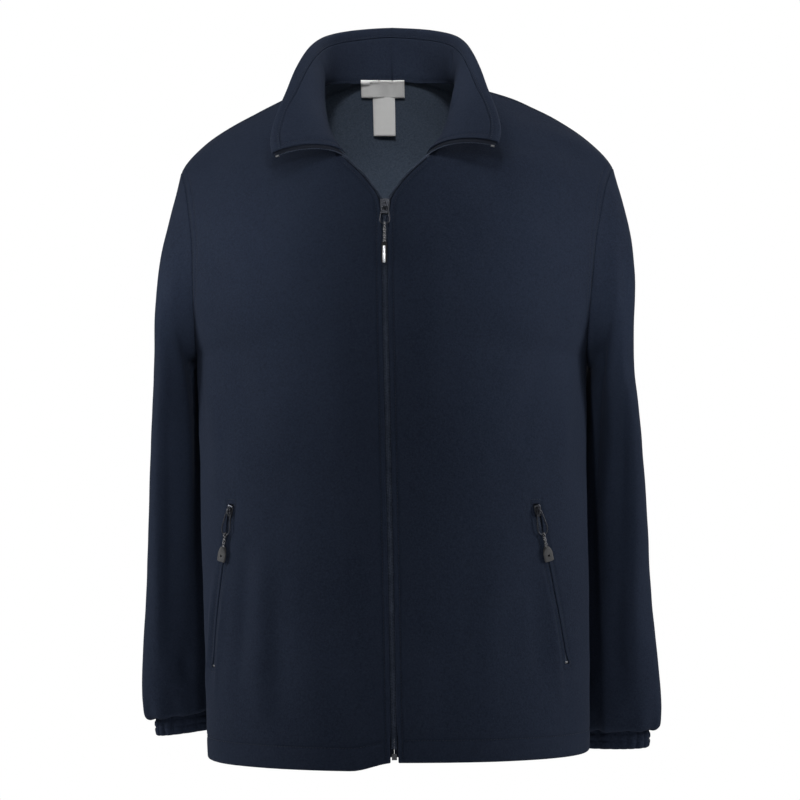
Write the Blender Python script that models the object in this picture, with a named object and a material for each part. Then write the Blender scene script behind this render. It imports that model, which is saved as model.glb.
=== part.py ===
"""Fleece zip jacket, filled out as it hangs on a wearer's shoulders, with nobody in it.

Metres, +Z up, the front faces -Y and the wearer's left is +X. The origin is the middle of the neck
opening, level with the two points where the shoulder seams meet the collar.

Every piece of cloth is a wall laid on one smooth form. The form is drawn as rows: a row starts at the
middle of the front or back, or at the neckline above it, and ends at the side seam or, above the
underarm, at the armhole. The walls start WALL_START outside the form, so the zip tapes, which lie on
the form itself, run behind the fronts and between the two collar layers.
"""

import math

import bmesh
import bpy
import numpy as np
from mathutils import Matrix, Vector

# ---------------------------------------------------------------------------
# Driving sizes
# ---------------------------------------------------------------------------
BODY_LENGTH = 0.697       # shoulder point at the neck down to the hem
HEM_DEPTH = 0.020         # turned-up hem
UNDERARM_Z = -0.290
FLEECE = 0.0022           # thickness of one layer of fleece
WALL_START = 0.0008       # the form to the inside of the outer cloth
SEAM_GAP = 0.0003         # between the edges of two pieces that are sewn together
ZIP_SETBACK = 0.0040      # fabric edge to the middle of the zip
TAPE_HALF_THICKNESS = 0.0003
SWAY = (0.002, 0.012)     # how far the body hangs towards the wearer's left, at the chest and at the hem
SHOULDER_LEAN = 0.006     # how much further the shoulders stand towards the wearer's left
SLEEVE_LEAN = 0.003       # and the upper sleeves beyond them
SHOULDER_LIFT = 0.004     # how much higher the wearer's left shoulder stands
HEM_DROP = 0.009          # how much lower the wearer's right side hangs at the hem
POCKET_TOP_Z = -0.438
POCKET_END_Z = -0.604
SLIT_HALF_WIDTH = 0.0034

SIDES = {"left": 1.0, "right": -1.0}
# Where the two ends of each pocket slit lie, out from the middle, and how far each sleeve hangs.
POCKET_X = {"left": (0.1475, 0.1765), "right": (0.1630, 0.1880)}
SLEEVE_DROP = {"left": 0.005, "right": -0.012}
CUFF_SLANT = {"left": 0.04, "right": -0.12}     # rise of the sleeve's end towards the outside
WING_DROP = {1.0: -0.005, -1.0: 0.005}

# ---------------------------------------------------------------------------
# The form of the body, row by row from the hem up to the shoulder seam.
# An end of a row is a point, a heading seen from above (degrees from +X towards +Y), a dip below the
# level (degrees) and a reach, the length of the curve's handle as a share of the row.
# ---------------------------------------------------------------------------
END = ("x", "y", "z", "heading", "dip", "reach")
FRONT_INNER = [
    # x      y       z      head  dip  reach
    (0.000, -0.1400, -0.697, 0, 0, 0.46),   # hem
    (0.000, -0.1390, -0.600, 0, 0, 0.46),
    (0.000, -0.1370, -0.500, 0, 0, 0.46),
    (0.000, -0.1380, -0.400, 0, 0, 0.46),
    (0.000, -0.1405, -0.335, 0, 0, 0.46),
    (0.000, -0.1420, -0.275, 0, 0, 0.46),   # level of the underarm
    (0.000, -0.1415, -0.235, 0, 0, 0.46),
    (0.000, -0.1390, -0.196, 0, 0, 0.45),
    (0.000, -0.1345, -0.160, 0, 1, 0.44),
    (0.0022, -0.1285, -0.129, 0, 3, 0.42),  # the zip is open above here
    (0.019, -0.1230, -0.104, 2, 8, 0.38),
    (0.041, -0.1130, -0.082, 6, 14, 0.34),  # corner of the collar
    (0.059, -0.0830, -0.060, 8, 18, 0.32),
    (0.0695, -0.0430, -0.028, 4, 20, 0.32),
    (0.074, 0.0000, 0.002, 0, 22, 0.32),    # shoulder point at the neck
]
BACK_INNER = [
    (0.000, 0.1220, -0.697, 0, 0, 0.46),    # hem
    (0.000, 0.1150, -0.600, 0, 0, 0.46),
    (0.000, 0.1090, -0.500, 0, 0, 0.46),
    (0.000, 0.1130, -0.400, 0, 0, 0.46),
    (0.000, 0.1190, -0.335, 0, 0, 0.46),
    (0.000, 0.1250, -0.270, 0, 0, 0.46),    # level of the underarm
    (0.000, 0.1285, -0.215, 0, 0, 0.46),
    (0.000, 0.1270, -0.163, 0, 0, 0.45),
    (0.000, 0.1200, -0.115, 0, 1, 0.44),
    (0.000, 0.1060, -0.070, 0, 3, 0.42),
    (0.000, 0.0840, -0.028, 0, 5, 0.38),
    (0.000, 0.0600, 0.010, 0, 7, 0.36),     # middle of the back neckline
    (0.031, 0.0550, 0.010, 6, 12, 0.34),
    (0.060, 0.0340, 0.008, 5, 18, 0.32),
    (0.074, 0.0000, 0.002, 0, 22, 0.32),    # shoulder point at the neck
]
FRONT_OUTER = [
    (0.1975, 0.000, -0.697, 97, 0, 0.40),   # side seam at the hem
    (0.1988, 0.000, -0.600, 97, 0, 0.40),
    (0.1995, 0.000, -0.500, 97, 0, 0.40),
    (0.1995, 0.001, -0.400, 97, 0, 0.40),
    (0.2012, 0.002, -0.345, 96, 0, 0.40),
    (0.2030, 0.004, UNDERARM_Z, 94, 0, 0.38),
    (0.2045, -0.030, -0.272, 80, 2, 0.34),  # armhole, up the front
    (0.2058, -0.052, -0.240, 66, 4, 0.30),
    (0.2070, -0.060, -0.205, 55, 8, 0.28),
    (0.2090, -0.058, -0.170, 44, 15, 0.27),
    (0.2135, -0.048, -0.142, 32, 27, 0.26),
    (0.2180, -0.033, -0.117, 20, 40, 0.25),
    (0.2225, -0.018, -0.102, 12, 50, 0.24),
    (0.2252, -0.008, -0.0945, 5, 58, 0.24),
    (0.2260, 0.000, -0.0920, 0, 62, 0.24),   # shoulder point
]
BACK_OUTER = FRONT_OUTER[:6] + [
    (0.2035, 0.040, -0.272, 108, 2, 0.34),  # armhole, up the back
    (0.2030, 0.063, -0.240, 122, 4, 0.31),
    (0.2035, 0.071, -0.205, 132, 8, 0.29),
    (0.2060, 0.068, -0.170, 142, 15, 0.28),
    (0.2110, 0.056, -0.142, 152, 27, 0.27),
    (0.2165, 0.038, -0.117, 162, 40, 0.26),
    (0.2215, 0.020, -0.102, 170, 50, 0.25),
    (0.2250, 0.008, -0.0945, 176, 58, 0.24),
    (0.2260, 0.000, -0.0920, 180, 62, 0.24),  # shoulder point
]
ROW_UNDERARM = 5
ROW_ZIP_OPEN = 9
ROW_COLLAR = 11
ROW_SHOULDER = 14

# The collar's free edge, from the tip of the wing round to the middle of the back, and how far the
# cloth between neckline and edge bows out: "stand" lifts it forward and up before it turns over.
COLLAR_EDGE = ("x", "y", "z", "stand")
COLLAR_ROWS = [
    (0.1120, -0.1330, -0.0790, 0.011),   # tip of the wing
    (0.1150, -0.1190, -0.0600, 0.014),
    (0.1105, -0.1040, -0.0375, 0.015),
    (0.1015, -0.0820, -0.0120, 0.013),
    (0.0935, -0.0560, 0.0130, 0.010),
    (0.0840, -0.0270, 0.0345, 0.006),
    (0.0745, 0.0050, 0.0485, 0.003),
    (0.0625, 0.0320, 0.0570, 0.001),
    (0.0440, 0.0520, 0.0630, 0.000),
    (0.0225, 0.0640, 0.0665, 0.000),
    (0.0000, 0.0680, 0.0680, 0.000),     # middle of the back
]

# The sleeve below the underarm: level ovals, each a centre, a half-breadth, a half-thickness and the
# heading of its breadth. It hangs beside the body and slightly behind it.
SLEEVE_OVAL = ("z", "x", "y", "broad", "thin", "heading")
SLEEVE_ROWS = [
    (-0.315, 0.2278, 0.028, 0.0780, 0.0182, 101),
    (-0.370, 0.2242, 0.050, 0.0755, 0.0222, 109),
    (-0.430, 0.2203, 0.068, 0.0725, 0.0268, 118),
    (-0.490, 0.2184, 0.080, 0.0695, 0.0300, 126),
    (-0.550, 0.2190, 0.088, 0.0670, 0.0325, 132),
    (-0.610, 0.2228, 0.094, 0.0643, 0.0343, 137),
    (-0.655, 0.2247, 0.099, 0.0630, 0.0356, 141),
    (-0.676, 0.2247, 0.101, 0.0612, 0.0352, 143),
]
CUFF_LEVELS = (-0.6801, -0.7045)      # top and bottom of the elastic cuff, before the drop of each sleeve
CUFF_OVAL = (0.0470, 0.0255)          # half-breadth and half-thickness of the gathered cuff
CUFF_PLEATS = 22
PLEAT_DEPTH = 0.0011


# ---------------------------------------------------------------------------
# Curves and frames
# ---------------------------------------------------------------------------
def through(table, at):
    """Points of the smooth curve through a table's rows, at row numbers that may be fractions."""
    rows = np.asarray(table, float)
    last = len(rows) - 1
    ends = np.vstack([2 * rows[0] - rows[1], rows, 2 * rows[-1] - rows[-2]])
    at = np.atleast_1d(np.asarray(at, float))
    low = np.clip(np.floor(at).astype(int), 0, last - 1)
    t = (at - low)[:, None]
    a, b, c, d = (ends[low + step] for step in range(4))
    return 0.5 * (2 * b + (c - a) * t + (2 * a - 5 * b + 4 * c - d) * t**2
                  + (3 * b - a - 3 * c + d) * t**3)


def heading_vector(heading, dip):
    """Unit vectors from headings and dips in degrees."""
    heading, dip = np.radians(heading), np.radians(dip)
    return np.stack([np.cos(heading) * np.cos(dip), np.sin(heading) * np.cos(dip), -np.sin(dip)], -1)


def cubic(p0, p1, p2, p3, t):
    """Points of cubic curves, a row of points for each p0, at the shares t of its length."""
    t = t[..., None]
    return (1 - t)**3 * p0 + 3 * (1 - t)**2 * t * p1 + 3 * (1 - t) * t**2 * p2 + t**3 * p3


def unit(vectors):
    return vectors / np.maximum(np.linalg.norm(vectors, axis=-1, keepdims=True), 1e-12)


def ease(value, start, end):
    """A smooth rise from 0 at "start" to 1 at "end"."""
    share = np.clip((value - start) / (end - start), 0, 1)
    return share * share * (3 - 2 * share)


def settled(points, leans=True, drops=True):
    """How the garment hangs: a little to the wearer's left, and lower at the wearer's right hem."""
    points = np.array(points, float)
    x, y, z = points[..., 0], points[..., 1], points[..., 2]
    shift = SWAY[0] + (SWAY[1] - SWAY[0]) * np.clip((-0.20 - z) / 0.50, 0, 1)
    if leans:
        shift = shift + SHOULDER_LEAN * ease(np.abs(x), 0.075, 0.135) * ease(z, -0.31, -0.15)
        shift = shift + SLEEVE_LEAN * ease(np.abs(x), 0.205, 0.250) * ease(z, -0.60, -0.33)
        points[..., 2] = z + SHOULDER_LIFT * ease(x, 0.075, 0.135) * ease(z, -0.31, -0.15)
        z = points[..., 2]
    if drops:
        behind = 0.5 * (1 - np.clip(x / 0.2, -1, 1))
        before = ease(-x, 0.0, 0.045)
        share = before + (behind - before) * ease(y, -0.02, 0.02)
        points[..., 2] = z - HEM_DROP * share * np.clip((-0.40 - z) / 0.30, 0, 1)
    points[..., 0] = x + shift
    return points


# ---------------------------------------------------------------------------
# The form: body, collar and sleeve as functions of row and share
# ---------------------------------------------------------------------------
def outer_ends(table, rows):
    """The side seam and, above the underarm, the armhole: two curves that meet in a corner."""
    seam = through(table[:ROW_UNDERARM + 1], np.minimum(rows, ROW_UNDERARM))
    hole = through(table[ROW_UNDERARM:], np.maximum(rows - ROW_UNDERARM, 0))
    return np.where((rows <= ROW_UNDERARM)[:, None], seam, hole)


def body_point(face, rows, shares, side=1.0):
    """Points on the front or back, at row numbers and at shares of the way from the middle to the side."""
    inner_table, outer_table = (FRONT_INNER, FRONT_OUTER) if face == "front" else (BACK_INNER, BACK_OUTER)
    rows, shares = np.broadcast_arrays(np.asarray(rows, float), np.asarray(shares, float))
    flat = rows.ravel()
    inner, outer = through(inner_table, flat), outer_ends(outer_table, flat)
    chord = np.linalg.norm(outer[:, :3] - inner[:, :3], axis=1, keepdims=True)
    start = heading_vector(inner[:, 3], inner[:, 4])
    arrival = heading_vector(outer[:, 3], outer[:, 4])
    if face == "back":
        arrival[:, :2] *= -1      # the back's rows arrive from behind
    p0, p3 = inner[:, :3], outer[:, :3]
    p1 = p0 + start * chord * inner[:, 5:6]
    p2 = p3 - arrival * chord * outer[:, 5:6]
    points = cubic(p0, p1, p2, p3, shares.ravel())
    points[:, 0] *= side
    return points.reshape(rows.shape + (3,))


def neckline(at, side=1.0):
    """The neck seam, from the collar's corner (0) over the shoulder point (3) to the middle back (6)."""
    at = np.atleast_1d(np.asarray(at, float))
    front = through(FRONT_INNER, np.minimum(ROW_COLLAR + at, ROW_SHOULDER))[:, :3]
    back = through(BACK_INNER, np.maximum(ROW_SHOULDER + 3 - at, ROW_COLLAR))[:, :3]
    points = np.where((at <= 3)[:, None], front, back)
    points[:, 0] *= side
    return points


def collar_point(at, shares, side=1.0):
    """Points on the collar, at stations 0 (wing) to 6 (middle back) and shares from neckline to edge."""
    at, shares = np.broadcast_arrays(np.asarray(at, float), np.asarray(shares, float))
    flat = at.ravel()
    root = neckline(flat)
    edge = through(COLLAR_ROWS, flat * (len(COLLAR_ROWS) - 1) / 6)
    along = unit(neckline(np.minimum(flat + 0.05, 6)) - neckline(np.maximum(flat - 0.05, 0)))
    across = edge[:, :3] - root
    lift = unit(np.cross(across, along))
    bow = lift * edge[:, 3:4]
    p1 = root + across * 0.25 + bow * 1.3
    p2 = root + across * 0.70 + bow * 1.1
    points = cubic(root, p1, p2, edge[:, :3], shares.ravel())
    points[:, 0] *= side
    points[:, 2] -= WING_DROP[side] * shares.ravel() * ease(-flat, -2.5, 0)
    return points.reshape(at.shape + (3,))


RING = 2 * (ROW_SHOULDER - ROW_UNDERARM)     # steps round an armhole
OUTWARD, DOWNWARD = np.array([1.0, 0, 0]), np.array([0, 0, -1.0])


def armhole(steps):
    """The armhole from the shoulder point down the front, under the arm and up the back, with the
    direction in which the body's cloth arrives. One step is a row of the body."""
    steps = np.atleast_1d(np.asarray(steps, float))
    half = RING / 2
    in_front = steps <= half
    row = np.where(in_front, ROW_SHOULDER - steps, ROW_UNDERARM + steps - half)
    ends = np.where(in_front[:, None], outer_ends(FRONT_OUTER, row), outer_ends(BACK_OUTER, row))
    arrival = heading_vector(ends[:, 3], ends[:, 4])
    arrival[:, :2] *= np.where(in_front, 1, -1)[:, None]
    return ends[:, :3], arrival


def oval_ring(row, steps):
    """A level oval of the sleeve: x, y, z for steps round it, the outer side first and then the front."""
    z, x, y, broad, thin, heading = row
    angle = -2 * np.pi * np.asarray(steps, float) / RING
    turn = math.radians(heading)
    c, s = math.cos(turn), math.sin(turn)
    stretch = np.array([[c * c * broad + s * s * thin, c * s * (broad - thin)],
                        [c * s * (broad - thin), s * s * broad + c * c * thin]])
    plan = np.stack([np.cos(angle), np.sin(angle)], -1) @ stretch
    return np.column_stack([plan + (x, y), np.full(len(plan), z)])


def sleeve_point(levels, steps, side_name):
    """Points on a sleeve. Levels 0 to 1 are the cap, from the armhole to the first oval, and each
    further whole number is an oval."""
    levels = np.atleast_1d(np.asarray(levels, float))
    steps = np.asarray(steps, float)
    start, arrival = armhole(steps)
    first = oval_ring(SLEEVE_ROWS[0], steps)
    second = oval_ring(SLEEVE_ROWS[1], steps)
    outerness = np.cos(2 * np.pi * steps / RING)[:, None]
    up, low = np.clip(outerness, 0, 1), np.clip(-outerness, 0, 1)
    leave = unit(arrival * (0.40 + 0.20 * up - 0.40 * low) + OUTWARD * (0.30 - 0.32 * up + 0.55 * low)
                 + DOWNWARD * (0.40 + 0.00 * up + 0.05 * low))
    span = np.linalg.norm(first - start, axis=1, keepdims=True)
    down = unit(second - first)
    p1 = start + leave * span * 0.38
    p2 = first - down * span * 0.36
    grid = []
    for level in levels:
        if level <= 1:
            grid.append(cubic(start, p1, p2, first, np.full(len(steps), level)))
        else:
            grid.append(oval_ring(through(SLEEVE_ROWS, level - 1)[0], steps))
    grid = np.array(grid)
    share = np.clip((UNDERARM_Z - grid[..., 2]) / (UNDERARM_Z - SLEEVE_ROWS[-1][0]), 0, 1)
    grid[..., 2] -= SLEEVE_DROP[side_name] * share
    grid[..., 0] *= SIDES[side_name]
    return grid


def slanted(points, side_name):
    """Tips the end of a sleeve and its cuff."""
    points = np.array(points, float)
    away = np.abs(points[..., 0]) - SLEEVE_ROWS[-1][1]
    points[..., 2] += CUFF_SLANT[side_name] * away * ease(-points[..., 2], 0.56, 0.67)
    return points


def grid_normals(grid, outside, ring=False):
    """Unit normals of a grid of points, on the side that "outside" says (+1 or -1)."""
    down = np.gradient(grid, axis=0)
    if ring:
        round_it = np.roll(grid, -1, axis=1) - np.roll(grid, 1, axis=1)
    else:
        round_it = np.gradient(grid, axis=1)
    return unit(np.cross(round_it, down)) * outside


# ---------------------------------------------------------------------------
# Cloth walls
# ---------------------------------------------------------------------------
def material(name, colour, roughness, metallic=0.0):
    made = bpy.data.materials.get(name) or bpy.data.materials.new(name)
    made.use_nodes = True
    shader = made.node_tree.nodes["Principled BSDF"]
    shader.inputs["Base Color"].default_value = (*colour, 1.0)
    shader.inputs["Roughness"].default_value = roughness
    shader.inputs["Metallic"].default_value = metallic
    return made


FLEECE_NAVY = ("navy_fleece", (0.010, 0.015, 0.028), 0.9)
TAPE_NAVY = ("zip_tape", (0.012, 0.016, 0.026), 0.8)
DARK_METAL = ("dark_metal", (0.045, 0.048, 0.056), 0.35, 0.9)
CORD_BLACK = ("pull_cord", (0.020, 0.020, 0.022), 0.7)
MOULDED_GREY = ("moulded_grey", (0.060, 0.060, 0.062), 0.5)
BRIGHT_METAL = ("bright_metal", (0.72, 0.73, 0.75), 0.3, 0.9)
LABEL_WHITE = ("label_white", (0.80, 0.80, 0.79), 0.6)


def add_object(name, bm, finish, smooth=True):
    bmesh.ops.recalc_face_normals(bm, faces=bm.faces)
    if bm.calc_volume(signed=True) < 0:
        bmesh.ops.reverse_faces(bm, faces=bm.faces)
    mesh = bpy.data.meshes.new(name)
    bm.to_mesh(mesh)
    bm.free()
    if smooth:
        mesh.shade_smooth()
        mesh.set_sharp_from_angle(angle=math.radians(50))
    mesh.materials.append(material(*finish))
    obj = bpy.data.objects.new(name, mesh)
    bpy.context.scene.collection.objects.link(obj)
    return obj


def opposite(face, vertex):
    corners = list(face.verts)
    return corners[(corners.index(vertex) + 2) % 4]


def cloth(name, sheets, start, thickness, finish, skip=(), ring=False):
    """A wall of cloth. Each sheet is a grid of points with a grid of normals; sheets that share points
    are one piece. The wall runs from "start" to "start" + thickness along the normals. "skip" lists the
    quads (row, column) that are left out, for a slit."""
    bm = bmesh.new()
    lift = bm.verts.layers.float_vector.new("lift")
    known = {}

    def vertex(point, normal):
        key = tuple(np.round(point, 6))
        if key not in known:
            known[key] = bm.verts.new(point + normal * start)
            known[key][lift] = normal * thickness
        return known[key]

    for points, normals in sheets:
        count = points.shape[1]
        columns = count if ring else count - 1
        corners = [[vertex(points[r, c], normals[r, c]) for c in range(count)] for r in range(len(points))]
        for r in range(len(points) - 1):
            for c in range(columns):
                quad = [corners[r][c], corners[r][(c + 1) % count],
                        corners[r + 1][(c + 1) % count], corners[r + 1][c]]
                if (r, c) not in skip and len(set(quad)) == 4:
                    bm.faces.new(quad)
    loose = [v for v in bm.verts if not v.link_faces]
    bmesh.ops.delete(bm, geom=loose, context="VERTS")
    base = set(bm.verts)
    made = bmesh.ops.extrude_face_region(bm, geom=bm.faces[:], use_keep_orig=True)
    for item in made["geom"]:
        if isinstance(item, bmesh.types.BMVert):
            item.co += item[lift]
    # Edge faces are split from the lower point of the inner face, alike on both sides of a seam.
    for face in [f for f in bm.faces if sum(v in base for v in f.verts) == 2]:
        low = min((v for v in face.verts if v in base), key=lambda v: (round(v.co.z, 4), v.co.y))
        bmesh.utils.face_split(face, low, opposite(face, low))
    bmesh.ops.triangulate(bm, faces=bm.faces)
    return add_object(name, bm, finish)


# ---------------------------------------------------------------------------
# Rows and columns of the faceted cloth
# ---------------------------------------------------------------------------
def row_at(z):
    """The row number of the body, below the underarm, at a height."""
    rows = np.linspace(0, ROW_UNDERARM, 401)
    return float(np.interp(z, through(FRONT_OUTER, rows)[:, 2], rows))


ROW_HEM = row_at(-BODY_LENGTH + HEM_DEPTH)
ROW_POCKET_END = row_at(POCKET_END_Z)
ROW_POCKET_TOP = row_at(POCKET_TOP_Z)
ROW_BOX_TOP = row_at(-0.6905)
ROW_V_START = ROW_ZIP_OPEN - 0.5
BODY_ROWS = np.concatenate([[0.0, ROW_HEM], np.linspace(ROW_POCKET_END, ROW_POCKET_TOP, 4), [3.2, 4.1],
                            np.arange(ROW_UNDERARM, ROW_V_START), [ROW_V_START],
                            np.arange(ROW_ZIP_OPEN, ROW_SHOULDER + 1)])
ARM_ROWS = BODY_ROWS[BODY_ROWS >= ROW_UNDERARM]
ARM_STEPS = np.concatenate([ROW_SHOULDER - ARM_ROWS[::-1],
                            ARM_ROWS[1:-1] + RING / 2 - ROW_UNDERARM])
CHEST_COLUMNS, FLANK_COLUMNS = 6, 4
BACK_COLUMNS = 8
TAPE_COVERED = 0.0090       # middle of the zip to the tape's hidden edge
CORNER_AT = 0.105           # where the set-back fabric edges meet on the neckline
NECK_AT = np.array([CORNER_AT, 0.5, 1, 1.5, 2, 2.5, 3, 3.5, 4, 4.5, 5, 5.5, 6])


def share_at_x(row, x):
    shares = np.linspace(0, 1, 401)
    return float(np.interp(x, body_point("front", row, shares)[:, 0], shares))


def pocket_share(rows, side_name):
    """Share of the row at which the pocket slit lies, held level above and below the slit."""
    top_x, end_x = POCKET_X[side_name]
    ends = [share_at_x(ROW_POCKET_END, end_x), share_at_x(ROW_POCKET_TOP, top_x)]
    return np.interp(rows, [ROW_POCKET_END, ROW_POCKET_TOP, ROW_SHOULDER], [*ends, 0.62])


def row_speed(rows, shares, face="front"):
    """Metres per share along the rows, at a share."""
    step = 1e-4
    return np.linalg.norm(body_point(face, rows, shares + step) - body_point(face, rows, shares), axis=-1) / step


def front_shares(rows, side_name):
    """Columns of a front: the covered tape, the chest, the pocket slit and the flank."""
    middle = pocket_share(rows, side_name)
    half = SLIT_HALF_WIDTH / row_speed(rows, middle)
    start = row_speed(rows, np.zeros(len(rows)))
    edge, covered = ZIP_SETBACK / start, TAPE_COVERED / start
    edge[rows > ROW_COLLAR] = 0
    chest = np.linspace(covered, middle - half, CHEST_COLUMNS + 1)
    flank = np.linspace(middle + half, np.ones(len(rows)), FLANK_COLUMNS + 1)
    return np.vstack([edge, chest, flank]).T


SLIT_COLUMN = CHEST_COLUMNS + 1


def body_normals(face, rows, shares, side):
    """Outward normals of the body from its own surface."""
    step = 2e-3
    across = (body_point(face, rows, np.minimum(shares + step, 1), side)
              - body_point(face, rows, np.maximum(shares - step, 0), side))
    up = (body_point(face, np.minimum(rows + step, ROW_SHOULDER), shares, side)
          - body_point(face, np.maximum(rows - step, 0), shares, side))
    outside = side if face == "front" else -side
    return unit(np.cross(across, up)) * outside


def sleeve_normals(level, steps, side_name):
    step = 1e-3
    down = (sleeve_point(level + step, steps, side_name) - sleeve_point(max(level - step, 0), steps, side_name))[0]
    round_it = (sleeve_point(level, steps + step, side_name) - sleeve_point(level, steps - step, side_name))[0]
    return unit(np.cross(round_it, down)) * SIDES[side_name]


def armhole_normals(side_name):
    """Mitred normals round the armhole: halfway between the body's and the sleeve's."""
    side = SIDES[side_name]
    rows = np.abs(ARM_STEPS - RING / 2) + ROW_UNDERARM
    ones = np.ones(len(rows))
    front = body_normals("front", rows, ones, side)
    back = body_normals("back", rows, ones, side)
    body = np.where((ARM_STEPS <= RING / 2)[:, None], front, back)
    for step in (0, RING / 2):      # the shoulder and the underarm belong to both
        at = int(np.argmin(np.abs(ARM_STEPS - step)))
        body[at] = unit(front[at] + back[at])
    return unit(body + sleeve_normals(0.06, ARM_STEPS, side_name))


def collar_normals(at, shares, side):
    step = 4e-3
    along = (collar_point(np.minimum(at + step, 6), shares, side)
             - collar_point(np.maximum(at - step, 0), shares, side))
    up = (collar_point(at, np.minimum(shares + step, 1), side)
          - collar_point(at, np.maximum(shares - step, 0), side))
    return unit(np.cross(along, up)) * side


def neck_seam(at, side):
    """Points and mitred normals on the neck seam. Between whole stations they lie on the chord, so that
    body and collar share straight edges."""
    stations = np.array([CORNER_AT, 1, 2, 3, 4, 5, 6])
    points = neckline(stations, side)
    zero = np.zeros(len(stations))
    front = body_normals("front", np.minimum(ROW_COLLAR + stations, ROW_SHOULDER), zero, side)
    back = body_normals("back", np.maximum(ROW_SHOULDER + 3 - stations, ROW_COLLAR), zero, side)
    body = np.where((stations < 3)[:, None], front, back)
    body[3] = unit(front[3] + back[3])
    normals = unit(body + collar_normals(stations, zero + 0.02, side))
    normals[-1, 0] = 0
    normals = unit(normals)
    return tuple(np.stack([np.interp(at, stations, table[:, axis]) for axis in range(3)], -1)
                 for table in (points, normals))


# ---------------------------------------------------------------------------
# The pieces
# ---------------------------------------------------------------------------
def body_sheet(face, rows, shares, side_name):
    """Points and mitred normals of one half of the body."""
    side = SIDES[side_name]
    row_grid = np.repeat(rows[:, None], shares.shape[1], axis=1)
    points = body_point(face, row_grid, shares, side)
    normals = body_normals(face, row_grid, shares, side)
    below = rows < ROW_UNDERARM
    ones = np.ones(int(below.sum()))
    normals[below, -1] = unit(body_normals("front", rows[below], ones, side)
                              + body_normals("back", rows[below], ones, side))
    mitred = armhole_normals(side_name)
    for index, row in enumerate(rows):
        if row >= ROW_UNDERARM:
            step = ROW_SHOULDER - row if face == "front" else row + RING / 2 - ROW_UNDERARM
            normals[index, -1] = mitred[int(np.argmin(np.abs(ARM_STEPS - step % RING)))]
        if row >= ROW_COLLAR:
            at = row - ROW_COLLAR if face == "front" else ROW_SHOULDER + 3 - row
            seam = neck_seam(np.array([max(at, CORNER_AT)]), side)
            points[index, 0], normals[index, 0] = seam[0][0], seam[1][0]
    top = np.full(shares.shape[1] - 2, float(ROW_SHOULDER))
    normals[-1, 1:-1] = unit(body_normals("front", top, shares[-1, 1:-1], side)
                             + body_normals("back", top, shares[-1, 1:-1], side))
    if face == "back":
        centre = rows <= ROW_COLLAR
        normals[centre, 0, 0] = 0
        normals = unit(normals)
    return points, normals


def with_hem(points, normals):
    """Adds the turned-up hem: the cloth goes down outside, round the bottom and up inside. Returns the
    inner face of the wall and the directions in which its thickness lies."""
    inside, directions = [], []
    down = unit(points[0] - points[1])
    for row in (1, 0):
        inside.append(points[row] - normals[row] * WALL_START)
        directions.append(-normals[row])
    for turn in (45, 90, 135):
        angle = math.radians(turn)
        direction = -normals[0] * math.cos(angle) + down * math.sin(angle)
        inside.append(points[0] + direction * WALL_START)
        directions.append(direction)
    return (np.concatenate([inside, points + normals * WALL_START]),
            np.concatenate([directions, normals]))


HEM_EXTRA = 5


def drawn_back(edge, towards, normals, gap, ring=False):
    """Moves the points of an edge into their own piece, square to the face that the seam meets on."""
    along = np.roll(edge, -1, axis=0) - np.roll(edge, 1, axis=0) if ring else np.gradient(edge, axis=0)
    side = np.cross(unit(along), normals)
    side *= np.sign(np.sum(side * (towards - edge), axis=1))[:, None]
    return edge + unit(side) * gap


def seam_edges(points, normals, face, rows):
    """The grid with its side, shoulder, armhole and neck edges drawn back by half a seam gap."""
    drawn = points.copy()
    half = SEAM_GAP / 2
    drawn[:, -1] = drawn_back(points[:, -1], points[:, -2], normals[:, -1], half)
    drawn[-1, :-1] = drawn_back(points[-1, :-1], points[-2, :-1], normals[-1, :-1], half)
    drawn[-1, -1] += drawn[-1, -2] - points[-1, -2]
    neck = np.flatnonzero(rows >= ROW_COLLAR)
    drawn[neck, 0] += drawn_back(points[neck, 0], points[neck, 1], normals[neck, 0], half) - points[neck, 0]
    if face == "back":
        middle = neck[0]
        drawn[middle, 0] = points[middle, 0] + half * unit(points[middle - 1, 0] - points[middle, 0])
    return drawn


def front_grid(side_name):
    shares = front_shares(BODY_ROWS, side_name)
    points, normals = body_sheet("front", BODY_ROWS, shares, side_name)
    return settled(points), normals


def back_grid(side_name):
    shares = np.repeat(np.linspace(0, 1, BACK_COLUMNS + 1)[None], len(BODY_ROWS), axis=0)
    points, normals = body_sheet("back", BODY_ROWS, shares, side_name)
    return settled(points), normals


def build_fronts():
    slit_rows = [i for i, row in enumerate(BODY_ROWS[:-1])
                 if ROW_POCKET_END - 1e-6 <= row < ROW_POCKET_TOP - 1e-6]
    slit = {(row + HEM_EXTRA, SLIT_COLUMN) for row in slit_rows}
    for side_name in SIDES:
        points, normals = front_grid(side_name)
        sheet = with_hem(seam_edges(points, normals, "front", BODY_ROWS), normals)
        cloth(f"front_{side_name}", [sheet], 0.0, FLEECE, FLEECE_NAVY, skip=slit)


def build_back():
    sheets = []
    for side_name in SIDES:
        points, normals = back_grid(side_name)
        sheets.append(with_hem(seam_edges(points, normals, "back", BODY_ROWS), normals))
    cloth("back", sheets, 0.0, FLEECE, FLEECE_NAVY)


SLEEVE_LEVELS = np.array([0, 0.22, 0.48, 0.75, 1, 1.9, 2.9, 3.9, 4.9, 5.9, 6.9, 7.6])
# The sleeve blouses over the cuff before it is gathered into it: share of the way from the last oval in
# to the cuff, and drop below the last oval.
BLOUSE = [(0.07, 0.0042), (0.42, 0.0056)]
CUFF_MOUTH = (0.0064, 0.0046)     # opening round the cuff, beyond its form, and its drop


def cuff_oval(z, grow=0.0):
    last = SLEEVE_ROWS[-1]
    return (z, last[1], last[2], CUFF_OVAL[0] + grow, CUFF_OVAL[1] + grow, last[5])


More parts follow.
